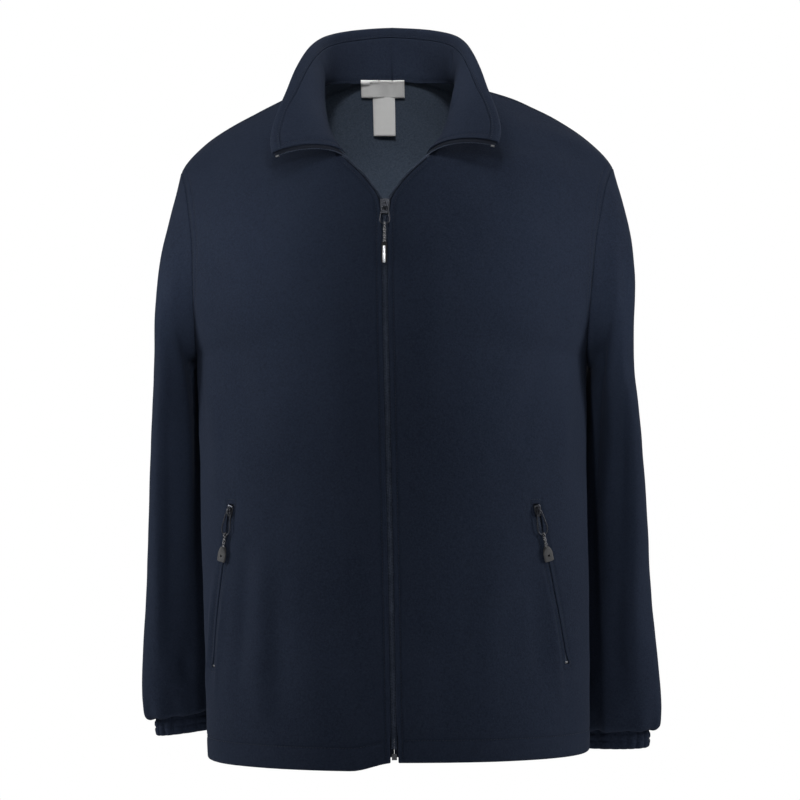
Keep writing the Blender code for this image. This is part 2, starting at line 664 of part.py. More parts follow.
def sleeve_grid(side_name):
    side = SIDES[side_name]
    body = sleeve_point(SLEEVE_LEVELS, ARM_STEPS, side_name)
    last, inner = np.array(SLEEVE_ROWS[-1]), np.array(cuff_oval(SLEEVE_ROWS[-1][0]))
    rings = []
    for share, drop in BLOUSE:
        row = last + (inner - last) * share
        row[0] = last[0] - drop - SLEEVE_DROP[side_name]
        rings.append(oval_ring(row, ARM_STEPS) * (side, 1, 1))
    mouth = cuff_oval(last[0] - CUFF_MOUTH[1] - SLEEVE_DROP[side_name], CUFF_MOUTH[0])
    rings.append(oval_ring(mouth, ARM_STEPS) * (side, 1, 1))
    points = slanted(np.concatenate([body, rings]), side_name)
    normals = grid_normals(points, side, ring=True)
    normals[0] = armhole_normals(side_name)
    return settled(points, drops=False), normals


def build_sleeves():
    for side_name in SIDES:
        points, normals = sleeve_grid(side_name)
        points[0] = drawn_back(points[0], points[1], normals[0], SEAM_GAP, ring=True)
        cloth(f"sleeve_{side_name}", [(points, normals)], WALL_START, FLEECE, FLEECE_NAVY, ring=True)


def build_cuffs():
    """Elastic cuffs: a gathered wall whose pleats run from top to bottom."""
    steps = np.arange(2 * CUFF_PLEATS) * RING / (2 * CUFF_PLEATS)
    pleat = PLEAT_DEPTH * np.cos(np.pi * np.arange(2 * CUFF_PLEATS))
    for side_name, side in SIDES.items():
        levels = np.linspace(*CUFF_LEVELS, 3)
        grid = np.array([oval_ring(cuff_oval(z, grow), steps)
                         for z, grow in zip(levels, (-0.001, 0.0008, -0.0006))])
        normals = grid_normals(grid, 1, ring=True)
        normals[..., 2] = 0
        normals = unit(normals)
        grid += normals * pleat[None, :, None]
        grid[..., 2] -= SLEEVE_DROP[side_name]
        grid[..., 0] *= side
        normals[..., 0] *= side
        grid = settled(slanted(grid, side_name), drops=False)
        cloth(f"cuff_{side_name}", [(grid, normals)], 0.0, FLEECE, FLEECE_NAVY, ring=True)


# --- collar -----------------------------------------------------------------
COLLAR_SHARES = np.array([0, 0.2, 0.42, 0.63, 0.79, 1.0])
ROLL_STEPS = 4
FOLD_OVER = 0.0085          # how far the outer collar turns over the edge to the inside
LAYER_OUT = WALL_START + FLEECE


def collar_half(side):
    """Points and outward normals of half the collar, its edge at the zip set back, with a column at the
    hidden edge of the zip tape."""
    stations = NECK_AT.copy()
    stations[0] = 0
    at, shares = np.meshgrid(stations, COLLAR_SHARES, indexing="ij")
    points, normals = collar_point(at, shares, side), collar_normals(at, shares, side)
    points[:, 0], normals[:, 0] = neck_seam(NECK_AT, side)
    normals[-1, :, 0] = 0
    normals = unit(normals)
    inward = unit(points[1] - points[0])
    covered = points[0] + inward * TAPE_COVERED
    covered_out = normals[0] + (normals[1] - normals[0]) * 0.4
    points[0, 1:] += inward[1:] * ZIP_SETBACK
    covered[0] = points[0, 0] + inward[0] * (TAPE_COVERED - ZIP_SETBACK)
    points = np.concatenate([points[:1], covered[None], points[1:]])
    normals = np.concatenate([normals[:1], unit(covered_out)[None], normals[1:]])
    return settled(points, leans=False, drops=False), normals


def both_sides(build):
    """A strip right round the neck, from the wearer's left wing to the right one."""
    left, right = build(1.0), build(-1.0)
    return tuple(np.concatenate([a, b[-2::-1]]) for a, b in zip(left, right))


def build_collar():
    points, normals = both_sides(collar_half)
    points[:, 0] += SEAM_GAP / 2 * unit(points[:, 1] - points[:, 0])
    # The outer layer goes up outside, over the edge and down the inside by FOLD_OVER.
    up = unit(points[:, -1] - points[:, -2])
    out = normals[:, -1]
    inside = [points[:, c] + normals[:, c] * WALL_START for c in range(points.shape[1])]
    directions = [normals[:, c] for c in range(points.shape[1])]
    for index in range(1, ROLL_STEPS):
        angle = math.pi * index / ROLL_STEPS
        direction = out * math.cos(angle) + up * math.sin(angle)
        inside.append(points[:, -1] + direction * WALL_START)
        directions.append(direction)
    for drop in (0.0, FOLD_OVER):
        inside.append(points[:, -1] - out * WALL_START - up * drop)
        directions.append(-out)
    cloth("collar_outer", [(np.stack(inside, 1), np.stack(directions, 1))], 0.0, FLEECE, FLEECE_NAVY)
    # The inner layer stops just below the turned-over edge.
    inner = points.copy()
    inner[:, -1] -= up * (FOLD_OVER + 2.5 * SEAM_GAP)
    cloth("collar_inner", [(inner, normals)], -LAYER_OUT, FLEECE, FLEECE_NAVY)


# --- zips -------------------------------------------------------------------
def between(grid, row, column):
    """A point of a grid at fractional row and column numbers."""
    r, c = int(min(row, len(grid) - 2)), int(min(column, grid.shape[1] - 2))
    u, v = row - r, column - c
    return ((1 - u) * ((1 - v) * grid[r, c] + v * grid[r, c + 1])
            + u * ((1 - v) * grid[r + 1, c] + v * grid[r + 1, c + 1]))


def build_zip_tapes():
    """Each tape runs up one front edge and the collar's front edge, from the hem to the collar's tip."""
    for side_name, side in SIDES.items():
        points, normals = front_grid(side_name)
        strip, strip_out = [], []

        def lay(covered_edge, set_back, out, free):
            outward = unit(set_back - covered_edge)
            edge = set_back + outward * (ZIP_SETBACK - free)
            strip.append([edge, set_back, covered_edge])
            strip_out.append([out[0], out[0], out[1]])

        rows = list(BODY_ROWS[BODY_ROWS < ROW_COLLAR])
        for row in sorted([*rows, ROW_BOX_TOP - 0.002, ROW_BOX_TOP]):
            at = float(np.interp(row, BODY_ROWS, np.arange(len(BODY_ROWS))))
            free = BOX_HALF_WIDTH + 0.0004 if row < ROW_BOX_TOP else SEAM_GAP / 2
            lay(between(points, at, 1), between(points, at, 0),
                (between(normals, at, 0), between(normals, at, 1)), free)
        collar, collar_out = collar_half(side)
        corner, corner_out = collar[0, 0], collar_out[0, 0]
        tip = settled(neckline(0.0, side), leans=False, drops=False)[0]
        strip.append([tip + unit(corner - tip) * SEAM_GAP / 2, corner,
                      corner + unit(corner - tip) * 0.001])
        strip_out.append([corner_out] * 3)
        for share in range(1, len(COLLAR_SHARES)):
            lay(collar[1, share], collar[0, share], (collar_out[0, share], collar_out[1, share]),
                SEAM_GAP / 2)
        cloth(f"zip_tape_{side_name}", [(np.array(strip), unit(np.array(strip_out)))],
              -TAPE_HALF_THICKNESS, 2 * TAPE_HALF_THICKNESS, TAPE_NAVY)


BOX_HALF_WIDTH = 0.0026


# --- shapes for the hardware --------------------------------------------------
class Frame:
    """A place on the garment: "across" to the wearer's left, "up" along the zip, "out" of the cloth."""

    def __init__(self, origin, up, out):
        self.origin = np.asarray(origin, float)
        self.up = unit(np.asarray(up, float))
        out = np.asarray(out, float)
        self.out = unit(out - self.up * (out @ self.up))
        self.across = np.cross(self.up, self.out) * -1
        if self.across[0] < 0:
            self.across = -self.across

    def at(self, across, up, out):
        return self.origin + self.across * across + self.up * up + self.out * out


def loft(name, rings, finish, smooth=True):
    """A closed body through rings of points, capped at both ends."""
    bm = bmesh.new()
    rows = [[bm.verts.new(point) for point in ring] for ring in rings]
    count = len(rows[0])
    for a, b in zip(rows, rows[1:]):
        for i in range(count):
            bm.faces.new([a[i], a[(i + 1) % count], b[(i + 1) % count], b[i]])
    bm.faces.new(rows[0][::-1])
    bm.faces.new(rows[-1])
    bmesh.ops.triangulate(bm, faces=bm.faces)
    return add_object(name, bm, finish, smooth)


def wire(name, path, radius, finish, first, closed=False, corners=8):
    """A round wire or cord along a path; "first" starts its cross-section's frame."""
    path = np.asarray(path, float)
    if closed:
        tangents = unit(np.roll(path, -1, axis=0) - np.roll(path, 1, axis=0))
    else:
        tangents = unit(np.gradient(path, axis=0))
    side = np.asarray(first, float)
    rings = []
    for point, tangent in zip(path, tangents):
        side = unit(side - tangent * (side @ tangent))
        other = np.cross(tangent, side)
        rings.append([point + radius * (side * math.cos(2 * math.pi * i / corners)
                                        + other * math.sin(2 * math.pi * i / corners))
                      for i in range(corners)])
    if not closed:
        return loft(name, rings, finish)
    bm = bmesh.new()
    rows = [[bm.verts.new(point) for point in ring] for ring in rings]
    for a, b in zip(rows, rows[1:] + rows[:1]):
        for i in range(corners):
            bm.faces.new([a[i], a[(i + 1) % corners], b[(i + 1) % corners], b[i]])
    bmesh.ops.triangulate(bm, faces=bm.faces)
    return add_object(name, bm, finish)


def boolean(obj, other, operation):
    """Joins or cuts one closed body with another and drops the second."""
    step = obj.modifiers.new(operation, "BOOLEAN")
    step.operation, step.solver, step.object = operation, "EXACT", other
    graph = bpy.context.evaluated_depsgraph_get()
    mesh = bpy.data.meshes.new_from_object(obj.evaluated_get(graph))
    obj.modifiers.clear()
    obj.data = mesh
    bpy.data.objects.remove(other)


def oblong(frame, half_across, half_out, up, out=0.0, corners=12, squareness=0.6):
    """A rounded rectangle square to "up"."""
    points = []
    for i in range(corners):
        angle = 2 * math.pi * (i + 0.5) / corners
        c, s = math.cos(angle), math.sin(angle)
        points.append(frame.at(half_across * math.copysign(abs(c)**squareness, c), up,
                               out + half_out * math.copysign(abs(s)**squareness, s)))
    return points


# Sliders: lengths along the zip with the half-width of the top plate there.
SLIDER_SIZES = ("web", "floor", "plate_low", "plate_high", "profile")
MAIN_SLIDER = (0.0032, 0.0007, 0.0033, 0.0045,
               [(-0.0080, 0.0034), (-0.0050, 0.0040), (0.0020, 0.0048), (0.0062, 0.0050), (0.0078, 0.0036)])
POCKET_SLIDER = (0.0026, 0.0007, 0.0033, 0.0043,
                 [(-0.0060, 0.0028), (-0.0035, 0.0034), (0.0015, 0.0040), (0.0045, 0.0040), (0.0058, 0.0030)])
BRIDGE = [(-0.0036, 0.0000), (-0.0030, 0.0019), (-0.0014, 0.0030), (0.0014, 0.0030), (0.0030, 0.0019),
          (0.0036, 0.0000)]
BRIDGE_HALF_WIDTH, BRIDGE_HALF_THICKNESS = 0.00125, 0.0006
PIN_ABOVE_PLATE = 0.00115
RING_WIRE = 0.0007
# Pulls: half the ring as (out from its middle, down from the pin), cord end and tip rings as
# (down from the pin, half-breadth, half-depth).
MAIN_RING = [(0.0020, 0.0), (0.0027, 0.0012), (0.0036, 0.0060), (0.0047, 0.0110), (0.0051, 0.0140),
             (0.0045, 0.0168), (0.0026, 0.0185)]
POCKET_RING = [(0.0020, 0.0), (0.0027, 0.0012), (0.0038, 0.0070), (0.0053, 0.0140), (0.0060, 0.0185),
               (0.0053, 0.0225), (0.0030, 0.0250)]
MAIN_TIP = [(0.0590, 0.0022, 0.0014), (0.0575, 0.0029, 0.0021), (0.0480, 0.0029, 0.0024),
            (0.0395, 0.0028, 0.0026), (0.0380, 0.0025, 0.0024)]
POCKET_TAB = [(0.0540, 0.0044, 0.0007), (0.0530, 0.0054, 0.0012), (0.0450, 0.0055, 0.0013),
              (0.0412, 0.0042, 0.0020), (0.0395, 0.0028, 0.0025), (0.0385, 0.0024, 0.0024)]
CORD = 0.00085
CORD_LAY = 0.0122          # length of one turn of the two cord legs round each other


def build_slider(name, frame, sizes):
    web, floor, low, high, profile = sizes
    rings = []
    for up, half in profile:
        rings.append([frame.at(a, up, o) for a, o in
                      [(-web, floor), (web, floor), (web, low), (half, low), (half, high - 0.0004),
                       (half - 0.0006, high), (-half + 0.0006, high), (-half, high - 0.0004),
                       (-half, low), (-web, low)]])
    slider = loft(name, rings, DARK_METAL, smooth=False)
    arch = []
    path = np.array(BRIDGE)
    path[:, 1] += high - 0.0005 * (path[:, 1] == 0)
    for index, (up, out) in enumerate(path):
        slope = np.gradient(path, axis=0)[index]
        normal = np.array([-slope[1], slope[0]]) / np.hypot(*slope)
        arch.append([frame.at(a, up + normal[0] * o, out + normal[1] * o) for a, o in
                     [(-BRIDGE_HALF_WIDTH, -BRIDGE_HALF_THICKNESS), (BRIDGE_HALF_WIDTH, -BRIDGE_HALF_THICKNESS),
                      (BRIDGE_HALF_WIDTH, BRIDGE_HALF_THICKNESS), (-BRIDGE_HALF_WIDTH, BRIDGE_HALF_THICKNESS)]])
    boolean(slider, loft(name + "_bridge", arch, DARK_METAL, smooth=False), "UNION")
    return frame.at(0, 0, high + PIN_ABOVE_PLATE)


def build_pull(names, frame, pin, lean, ring, tip, slot=None):
    """A wire ring in the slider's bridge, a cord doubled through the ring, and a moulded end on the
    cord. "lean" is how far the pull leans back towards the cloth, in degrees; without one it hangs
    plumb, as far as its axis lets it."""
    if lean is None:
        up = unit(np.array([0, 0, 1.0]) - frame.across * frame.across[2])
    else:
        angle = math.radians(lean)
        up = frame.up * math.cos(angle) + frame.out * math.sin(angle)
    hang = Frame(pin, up, frame.out)
    low_end = ring[-1][1] + 0.0005
    half = [(a, d) for a, d in ring]
    loop = half + [(0.0, low_end)] + [(-a, d) for a, d in half[::-1]]
    wire(names[0], [hang.at(a, -d, 0) for a, d in loop], RING_WIRE, DARK_METAL, hang.out, closed=True)
    socket_top = tip[-1][0]
    socket = socket_top + 0.0030
    turn_top = low_end - RING_WIRE - CORD - 0.00015
    wide, close = RING_WIRE + CORD + 0.00015, CORD + 0.00006
    start = low_end + 0.0028
    leg = [(0.0, -turn_top, wide * 0.45), (0.0, -(turn_top + 0.0006), wide * 0.85), (0.0, -low_end, wide),
           (0.0, -(low_end + 0.0014), (wide + close) / 2)]
    for share in np.linspace(0, 1, 12):
        depth = start + (socket - 0.0008 - start) * share
        turn = 2 * math.pi * (depth - start) / CORD_LAY
        leg.append((close * math.sin(turn), -depth, close * math.cos(turn)))
    path = [hang.at(*p) for p in leg[::-1]] + [hang.at(0, -turn_top + 0.0001, 0)]
    path += [hang.at(-a, u, -o) for a, u, o in leg]
    wire(names[1], path, CORD, CORD_BLACK, hang.across, corners=6)
    hole = CORD + close + 0.00036
    rings = [oblong(hang, a, o, -d) for d, a, o in tip]
    rings += [oblong(hang, hole, hole, -socket_top, squareness=1.0),
              oblong(hang, hole, hole, -socket, squareness=1.0)]
    body = loft(names[2], rings, MOULDED_GREY)
    if slot:
        depth, half_slot = slot
        cutter = loft(names[2] + "_slot", [oblong(hang, half_slot[0], 0.006, -depth + u)
                                          for u in (-half_slot[1], half_slot[1])], MOULDED_GREY)
        boolean(body, cutter, "DIFFERENCE")
    return hang


def hang_from(pin, names, joint):
    """Gives the pieces of a pull one parent on the axis they turn about."""
    axis = bpy.data.objects.new(joint, None)
    axis.location = Vector(pin)
    bpy.context.scene.collection.objects.link(axis)
    for name in names:
        piece = bpy.data.objects[name]
        piece.data.transform(Matrix.Translation(-Vector(pin)))
        piece.parent = axis


def main_zip_frame():
    row = ROW_V_START + 0.27
    rows = np.array([row - 0.2, row, row + 0.2])
    points = settled(body_point("front", rows, np.zeros(3)) * (0, 1, 1))
    out = body_normals("front", np.array([row]), np.array([0.0]), 1.0)[0] * (0, 1, 1)
    askew = np.array([0.007, 0, 0])             # the zip runs down a little towards one side
    return Frame(points[1], unit(points[2] - points[0]) + askew, out)


def pocket_strip(side_name):
    """The cloth's own facets beside and beyond a pocket slit: points and normals on a small grid."""
    points, normals = front_grid(side_name)
    rows = [i for i, row in enumerate(BODY_ROWS) if ROW_POCKET_END - 1e-6 <= row <= ROW_POCKET_TOP + 1e-6]
    reach = np.linalg.norm(points[rows[-1] + 1, SLIT_COLUMN] - points[rows[-1], SLIT_COLUMN])
    drop = np.linalg.norm(points[rows[0] - 1, SLIT_COLUMN] - points[rows[0], SLIT_COLUMN])
    at_rows = [rows[0] - 0.008 / drop, *rows, rows[-1] + 0.008 / reach]
    grid, out = [], []
    for row in at_rows:
        line, line_out = [], []
        for column, step in ((SLIT_COLUMN, -1), (SLIT_COLUMN, 0), (SLIT_COLUMN + 1, 0), (SLIT_COLUMN + 1, 1)):
            width = np.linalg.norm(between(points, row, column + step) - between(points, row, column))
            at = column + (step * 0.0055 / width if step else 0)
            line.append(between(points, row, at))
            line_out.append(between(normals, row, at))
        grid.append(line)
        out.append(line_out)
    return np.array(grid), unit(np.array(out))


def build_pockets():
    for side_name, side in SIDES.items():
        grid, out = pocket_strip(side_name)
        cloth(f"pocket_zip_{side_name}", [(grid, out)], -TAPE_HALF_THICKNESS, 2 * TAPE_HALF_THICKNESS,
              TAPE_NAVY)
        middle, normal = grid[:, 1:3].mean(1), unit(out[:, 1:3].sum(1))
        up = unit(middle[4] - middle[3])
        frame = Frame(middle[4] - up * 0.0068, up, normal[4])
        pin = build_slider(f"pocket_slider_{side_name}", frame, POCKET_SLIDER)
        names = [f"pocket_pull_{part}_{side_name}" for part in ("loop", "cord", "tab")]
        build_pull(names, frame, pin, None, POCKET_RING, POCKET_TAB, slot=(0.0480, (0.0012, 0.0011)))
        hang_from(pin, names, f"pocket_pull_{side_name}")
        low = Frame(middle[1] + up * 0.0016, unit(middle[2] - middle[1]), normal[1])
        loft(f"pocket_stop_{side_name}", [oblong(low, 0.0022, 0.0007, u, 0.0012)
                                          for u in (-0.0009, 0.0009)], BRIGHT_METAL)


MAIN_LEAN = 2.0


def build_main_hardware():
    frame = main_zip_frame()
    pin = build_slider("zip_slider", frame, MAIN_SLIDER)
    names = ["zip_pull_loop", "zip_pull_cord", "zip_pull_tip"]
    build_pull(names, frame, pin, MAIN_LEAN, MAIN_RING, MAIN_TIP)
    hang_from(pin, names, "zip_pull")
    low = settled(body_point("front", np.array([0.0, ROW_BOX_TOP]), np.zeros(2)) * (0, 1, 1))
    middle = (low[0] + low[1]) / 2
    box = Frame(middle, low[1] - low[0], (0, -1, 0))
    length = np.linalg.norm(low[1] - low[0]) / 2
    loft("zip_box", [oblong(box, BOX_HALF_WIDTH, 0.0015, u, squareness=0.35)
                     for u in (-length, length - 0.0003)], ("box_grey", (0.35, 0.36, 0.38), 0.45))
    for side_name, side in SIDES.items():
        collar, out = collar_half(side)
        tip, below = collar[0, -1], collar[0, -2]
        up = unit(tip - below)
        outward = unit(collar[0, -1] - collar[1, -1])
        stop = Frame(tip + outward * (ZIP_SETBACK + 0.0006) - up * 0.0025, up, out[0, -1])
        sign = np.sign(stop.across @ outward)
        stop.origin = stop.origin + stop.across * sign * 0.0004
        loft(f"zip_stop_{side_name}", [oblong(stop, 0.0008, 0.0012, u) for u in (-0.0018, 0.0018)],
             BRIGHT_METAL)


# --- labels -------------------------------------------------------------------
# Name, middle x, width, top and bottom as lengths down from the neck seam, depth behind the form.
LABELS = [("label_main", -0.0080, 0.0480, 0.0010, 0.0205, 0.0003),
          ("label_care", -0.0072, 0.0250, 0.0012, 0.0600, -0.0005)]
LABEL_THICKNESS = 0.0005


def build_labels():
    left, left_out = back_grid("left")
    right, right_out = back_grid("right")
    points = np.concatenate([right[:, :0:-1], left], 1)
    normals = np.concatenate([right_out[:, :0:-1], left_out], 1)
    top = int(np.flatnonzero(BODY_ROWS == ROW_COLLAR)[0])
    for name, x, width, start, end, depth in LABELS:
        grid, out = [], []
        for down in np.linspace(start, end, 4 if end > 0.03 else 2):
            row = top - down / np.linalg.norm(points[top, BACK_COLUMNS] - points[top - 1, BACK_COLUMNS])
            line, line_out = [], []
            for offset in np.linspace(-0.5, 0.5, 5) * width:
                xs = [between(points, row, c)[0] for c in range(points.shape[1])]
                column = float(np.interp(x + offset, xs, np.arange(len(xs))))
                line.append(between(points, row, column))
                line_out.append(between(normals, row, column))
            grid.append(line)
            out.append(line_out)
        cloth(name, [(np.array(grid), unit(np.array(out)))], -depth - LABEL_THICKNESS, LABEL_THICKNESS,
              LABEL_WHITE)


def clear_scene():
    for obj in list(bpy.data.objects):
        bpy.data.objects.remove(obj)


def main():
    clear_scene()
    build_fronts()
    build_back()
    build_sleeves()
    build_cuffs()
    build_collar()
    build_zip_tapes()
    build_main_hardware()
    build_pockets()
    build_labels()


main()
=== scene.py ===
"""Fleece zip jacket: the looks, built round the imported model.

The cloth pieces are laid again, finely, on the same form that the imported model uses, with rounded
edges, stitched seams and soft folds. Metres, +Z up, the front faces -Y.
"""
import math

import bmesh
import bpy
import numpy as np
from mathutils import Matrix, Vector, noise
from mathutils.bvhtree import BVHTree
from mathutils.kdtree import KDTree


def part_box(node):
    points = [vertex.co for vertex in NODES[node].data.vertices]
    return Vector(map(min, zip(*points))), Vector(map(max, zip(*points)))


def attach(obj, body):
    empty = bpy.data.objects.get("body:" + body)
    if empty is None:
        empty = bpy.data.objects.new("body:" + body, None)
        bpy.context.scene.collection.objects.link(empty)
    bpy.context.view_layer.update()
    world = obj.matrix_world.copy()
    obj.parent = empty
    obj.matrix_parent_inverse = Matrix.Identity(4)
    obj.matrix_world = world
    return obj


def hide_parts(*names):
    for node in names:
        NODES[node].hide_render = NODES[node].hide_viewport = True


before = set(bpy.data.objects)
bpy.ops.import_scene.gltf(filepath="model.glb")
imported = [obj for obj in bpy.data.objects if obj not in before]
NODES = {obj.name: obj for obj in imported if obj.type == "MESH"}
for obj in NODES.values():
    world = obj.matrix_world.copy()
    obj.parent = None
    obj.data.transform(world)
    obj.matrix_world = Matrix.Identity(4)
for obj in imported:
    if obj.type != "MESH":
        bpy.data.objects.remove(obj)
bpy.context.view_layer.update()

# ---- Driving sizes ---------------------------
BODY_LENGTH = 0.697  # shoulder point at the neck down to the hem
HEM_DEPTH = 0.02  # turned-up hem
UNDERARM_Z = -0.29
FLEECE = 0.0022  # thickness of one layer of fleece
WALL_START = 0.0008  # the form to the inside of the outer cloth
ZIP_SETBACK = 0.004  # fabric edge to the middle of the zip
SWAY = (0.002, 0.012)  # how far the body hangs towards the wearer's left, at the chest and at the hem
SHOULDER_LEAN = 0.006  # how much further the shoulders stand towards the wearer's left
SLEEVE_LEAN = 0.003  # and the upper sleeves beyond them
SHOULDER_LIFT = 0.004  # how much higher the wearer's left shoulder stands
HEM_DROP = 0.009  # how much lower the wearer's right side hangs at the hem
POCKET_TOP_Z = -0.438
POCKET_END_Z = -0.604
SLIT_HALF_WIDTH = 0.0034

SIDES = {"left": 1.0, "right": -1.0}  # the wearer's; a "hand" is one of these names
# Where the two ends of each pocket slit lie, out from the middle, and how far each sleeve hangs.
POCKET_X = {"left": (0.1475, 0.1765), "right": (0.163, 0.188)}
SLEEVE_DROP = {"left": 0.005, "right": -0.012}
CUFF_SLANT = {"left": 0.04, "right": -0.12}  # rise of the sleeve's end towards the outside
WING_DROP = {1.0: -0.005, -1.0: 0.005}  # how much lower each tip of the collar hangs

# ---- The form of the body, row by row from the hem up to the shoulder seam ----
# An end of a row is a point (x, y, z), a heading seen from above (degrees from +X towards +Y), a dip below
# the level (degrees) and a reach, the length of the curve's handle as a share of the row. Row 0 is the hem,
# 5 the underarm, 11 the collar's corner in front and the neckline's middle behind, 14 the shoulder seam.
FRONT_INNER = [
    (0.0, -0.14, -0.697, 0, 0, 0.46), (0.0, -0.139, -0.6, 0, 0, 0.46),
    (0.0, -0.137, -0.5, 0, 0, 0.46), (0.0, -0.138, -0.4, 0, 0, 0.46),
    (0.0, -0.1405, -0.335, 0, 0, 0.46), (0.0, -0.142, -0.275, 0, 0, 0.46),
    (0.0, -0.1415, -0.235, 0, 0, 0.46), (0.0, -0.139, -0.196, 0, 0, 0.45),
    (0.0, -0.1345, -0.16, 0, 1, 0.44), (0.0022, -0.1285, -0.129, 0, 3, 0.42),
    (0.019, -0.123, -0.104, 2, 8, 0.38), (0.041, -0.113, -0.082, 6, 14, 0.34),
    (0.059, -0.083, -0.06, 8, 18, 0.32), (0.0695, -0.043, -0.028, 4, 20, 0.32),
    (0.074, 0.0, 0.002, 0, 22, 0.32),
]
BACK_INNER = [
    (0.0, 0.122, -0.697, 0, 0, 0.46), (0.0, 0.115, -0.6, 0, 0, 0.46),
    (0.0, 0.109, -0.5, 0, 0, 0.46), (0.0, 0.113, -0.4, 0, 0, 0.46),
    (0.0, 0.119, -0.335, 0, 0, 0.46), (0.0, 0.125, -0.27, 0, 0, 0.46),
    (0.0, 0.1285, -0.215, 0, 0, 0.46), (0.0, 0.127, -0.163, 0, 0, 0.45),
    (0.0, 0.12, -0.115, 0, 1, 0.44), (0.0, 0.106, -0.07, 0, 3, 0.42),
    (0.0, 0.084, -0.028, 0, 5, 0.38), (0.0, 0.06, 0.01, 0, 7, 0.36),
    (0.031, 0.055, 0.01, 6, 12, 0.34), (0.06, 0.034, 0.008, 5, 18, 0.32),
    (0.074, 0.0, 0.002, 0, 22, 0.32),
]
FRONT_OUTER = [
    (0.1975, 0.0, -0.697, 97, 0, 0.4), (0.1988, 0.0, -0.6, 97, 0, 0.4),
    (0.1995, 0.0, -0.5, 97, 0, 0.4), (0.1995, 0.001, -0.4, 97, 0, 0.4),
    (0.2012, 0.002, -0.345, 96, 0, 0.4), (0.203, 0.004, UNDERARM_Z, 94, 0, 0.38),
    (0.2045, -0.03, -0.272, 80, 2, 0.34), (0.2058, -0.052, -0.24, 66, 4, 0.3),
    (0.207, -0.06, -0.205, 55, 8, 0.28), (0.209, -0.058, -0.17, 44, 15, 0.27),
    (0.2135, -0.048, -0.142, 32, 27, 0.26), (0.218, -0.033, -0.117, 20, 40, 0.25),
    (0.2225, -0.018, -0.102, 12, 50, 0.24), (0.2252, -0.008, -0.0945, 5, 58, 0.24),
    (0.226, 0.0, -0.092, 0, 62, 0.24),
]
BACK_OUTER = FRONT_OUTER[:6] + [
    (0.2035, 0.04, -0.272, 108, 2, 0.34), (0.203, 0.063, -0.24, 122, 4, 0.31),
    (0.2035, 0.071, -0.205, 132, 8, 0.29), (0.206, 0.068, -0.17, 142, 15, 0.28),
    (0.211, 0.056, -0.142, 152, 27, 0.27), (0.2165, 0.038, -0.117, 162, 40, 0.26),
    (0.2215, 0.02, -0.102, 170, 50, 0.25), (0.225, 0.008, -0.0945, 176, 58, 0.24),
    (0.226, 0.0, -0.092, 180, 62, 0.24),
]
ROW_UNDERARM = 5
ROW_ZIP_OPEN = 9
ROW_COLLAR = 11
ROW_SHOULDER = 14

# The collar's free edge (x, y, z), from the tip of the wing round to the middle of the back, and how far
# the cloth between neckline and edge bows forward and up before it turns over.
COLLAR_ROWS = [
    (0.112, -0.133, -0.079, 0.011), (0.115, -0.119, -0.06, 0.014), (0.1105, -0.104, -0.0375, 0.015),
    (0.1015, -0.082, -0.012, 0.013), (0.0935, -0.056, 0.013, 0.01), (0.084, -0.027, 0.0345, 0.006),
    (0.0745, 0.005, 0.0485, 0.003), (0.0625, 0.032, 0.057, 0.001), (0.044, 0.052, 0.063, 0.0),
    (0.0225, 0.064, 0.0665, 0.0), (0.0, 0.068, 0.068, 0.0),
]

# The sleeve below the underarm: level ovals, each z, x and y of its centre, a half-breadth, a
# half-thickness and the heading of its breadth. It hangs beside the body and slightly behind it.
SLEEVE_ROWS = [
    (-0.315, 0.2278, 0.028, 0.078, 0.0182, 101), (-0.37, 0.2242, 0.05, 0.0755, 0.0222, 109),
    (-0.43, 0.2203, 0.068, 0.0725, 0.0268, 118), (-0.49, 0.2184, 0.08, 0.0695, 0.03, 126),
    (-0.55, 0.219, 0.088, 0.067, 0.0325, 132), (-0.61, 0.2228, 0.094, 0.0643, 0.0343, 137),
    (-0.655, 0.2247, 0.099, 0.063, 0.0356, 141), (-0.676, 0.2247, 0.101, 0.0612, 0.0352, 143),
]
CUFF_LEVELS = (-0.6801, -0.7045)  # top and bottom of the elastic cuff, before the drop of each sleeve
CUFF_OVAL = (0.047, 0.0255)  # half-breadth and half-thickness of the gathered cuff
CUFF_PLEATS = 22


# ---- Curves and frames -----------------------
def through(table, at):
    """Points of the smooth curve through a table's rows, at row numbers that may be fractions."""
    rows = np.asarray(table, float)
    last = len(rows) - 1
    ends = np.vstack([2 * rows[0] - rows[1], rows, 2 * rows[-1] - rows[-2]])
    at = np.atleast_1d(np.asarray(at, float))
    low = np.clip(np.floor(at).astype(int), 0, last - 1)
    t = (at - low)[:, None]
    a, b, c, d = (ends[low + step] for step in range(4))
    return 0.5 * (2 * b + (c - a) * t + (2 * a - 5 * b + 4 * c - d) * t**2
                  + (3 * b - a - 3 * c + d) * t**3)


def heading_vector(heading, dip):
    """Unit vectors from headings and dips in degrees."""
    heading, dip = np.radians(heading), np.radians(dip)
    return np.stack([np.cos(heading) * np.cos(dip), np.sin(heading) * np.cos(dip), -np.sin(dip)], -1)


def cubic(p0, p1, p2, p3, t):
    """Points of cubic curves, a row of points for each p0, at the shares t of its length."""
    t = t[..., None]
    return (1 - t)**3 * p0 + 3 * (1 - t)**2 * t * p1 + 3 * (1 - t) * t**2 * p2 + t**3 * p3


def norm(vectors):
    return np.linalg.norm(vectors, axis=-1)


def unit(vectors):
    return vectors / np.maximum(np.linalg.norm(vectors, axis=-1, keepdims=True), 1e-12)


def ease(value, start, end):
    """A smooth rise from 0 at "start" to 1 at "end"."""
    share = np.clip((value - start) / (end - start), 0, 1)
    return share * share * (3 - 2 * share)


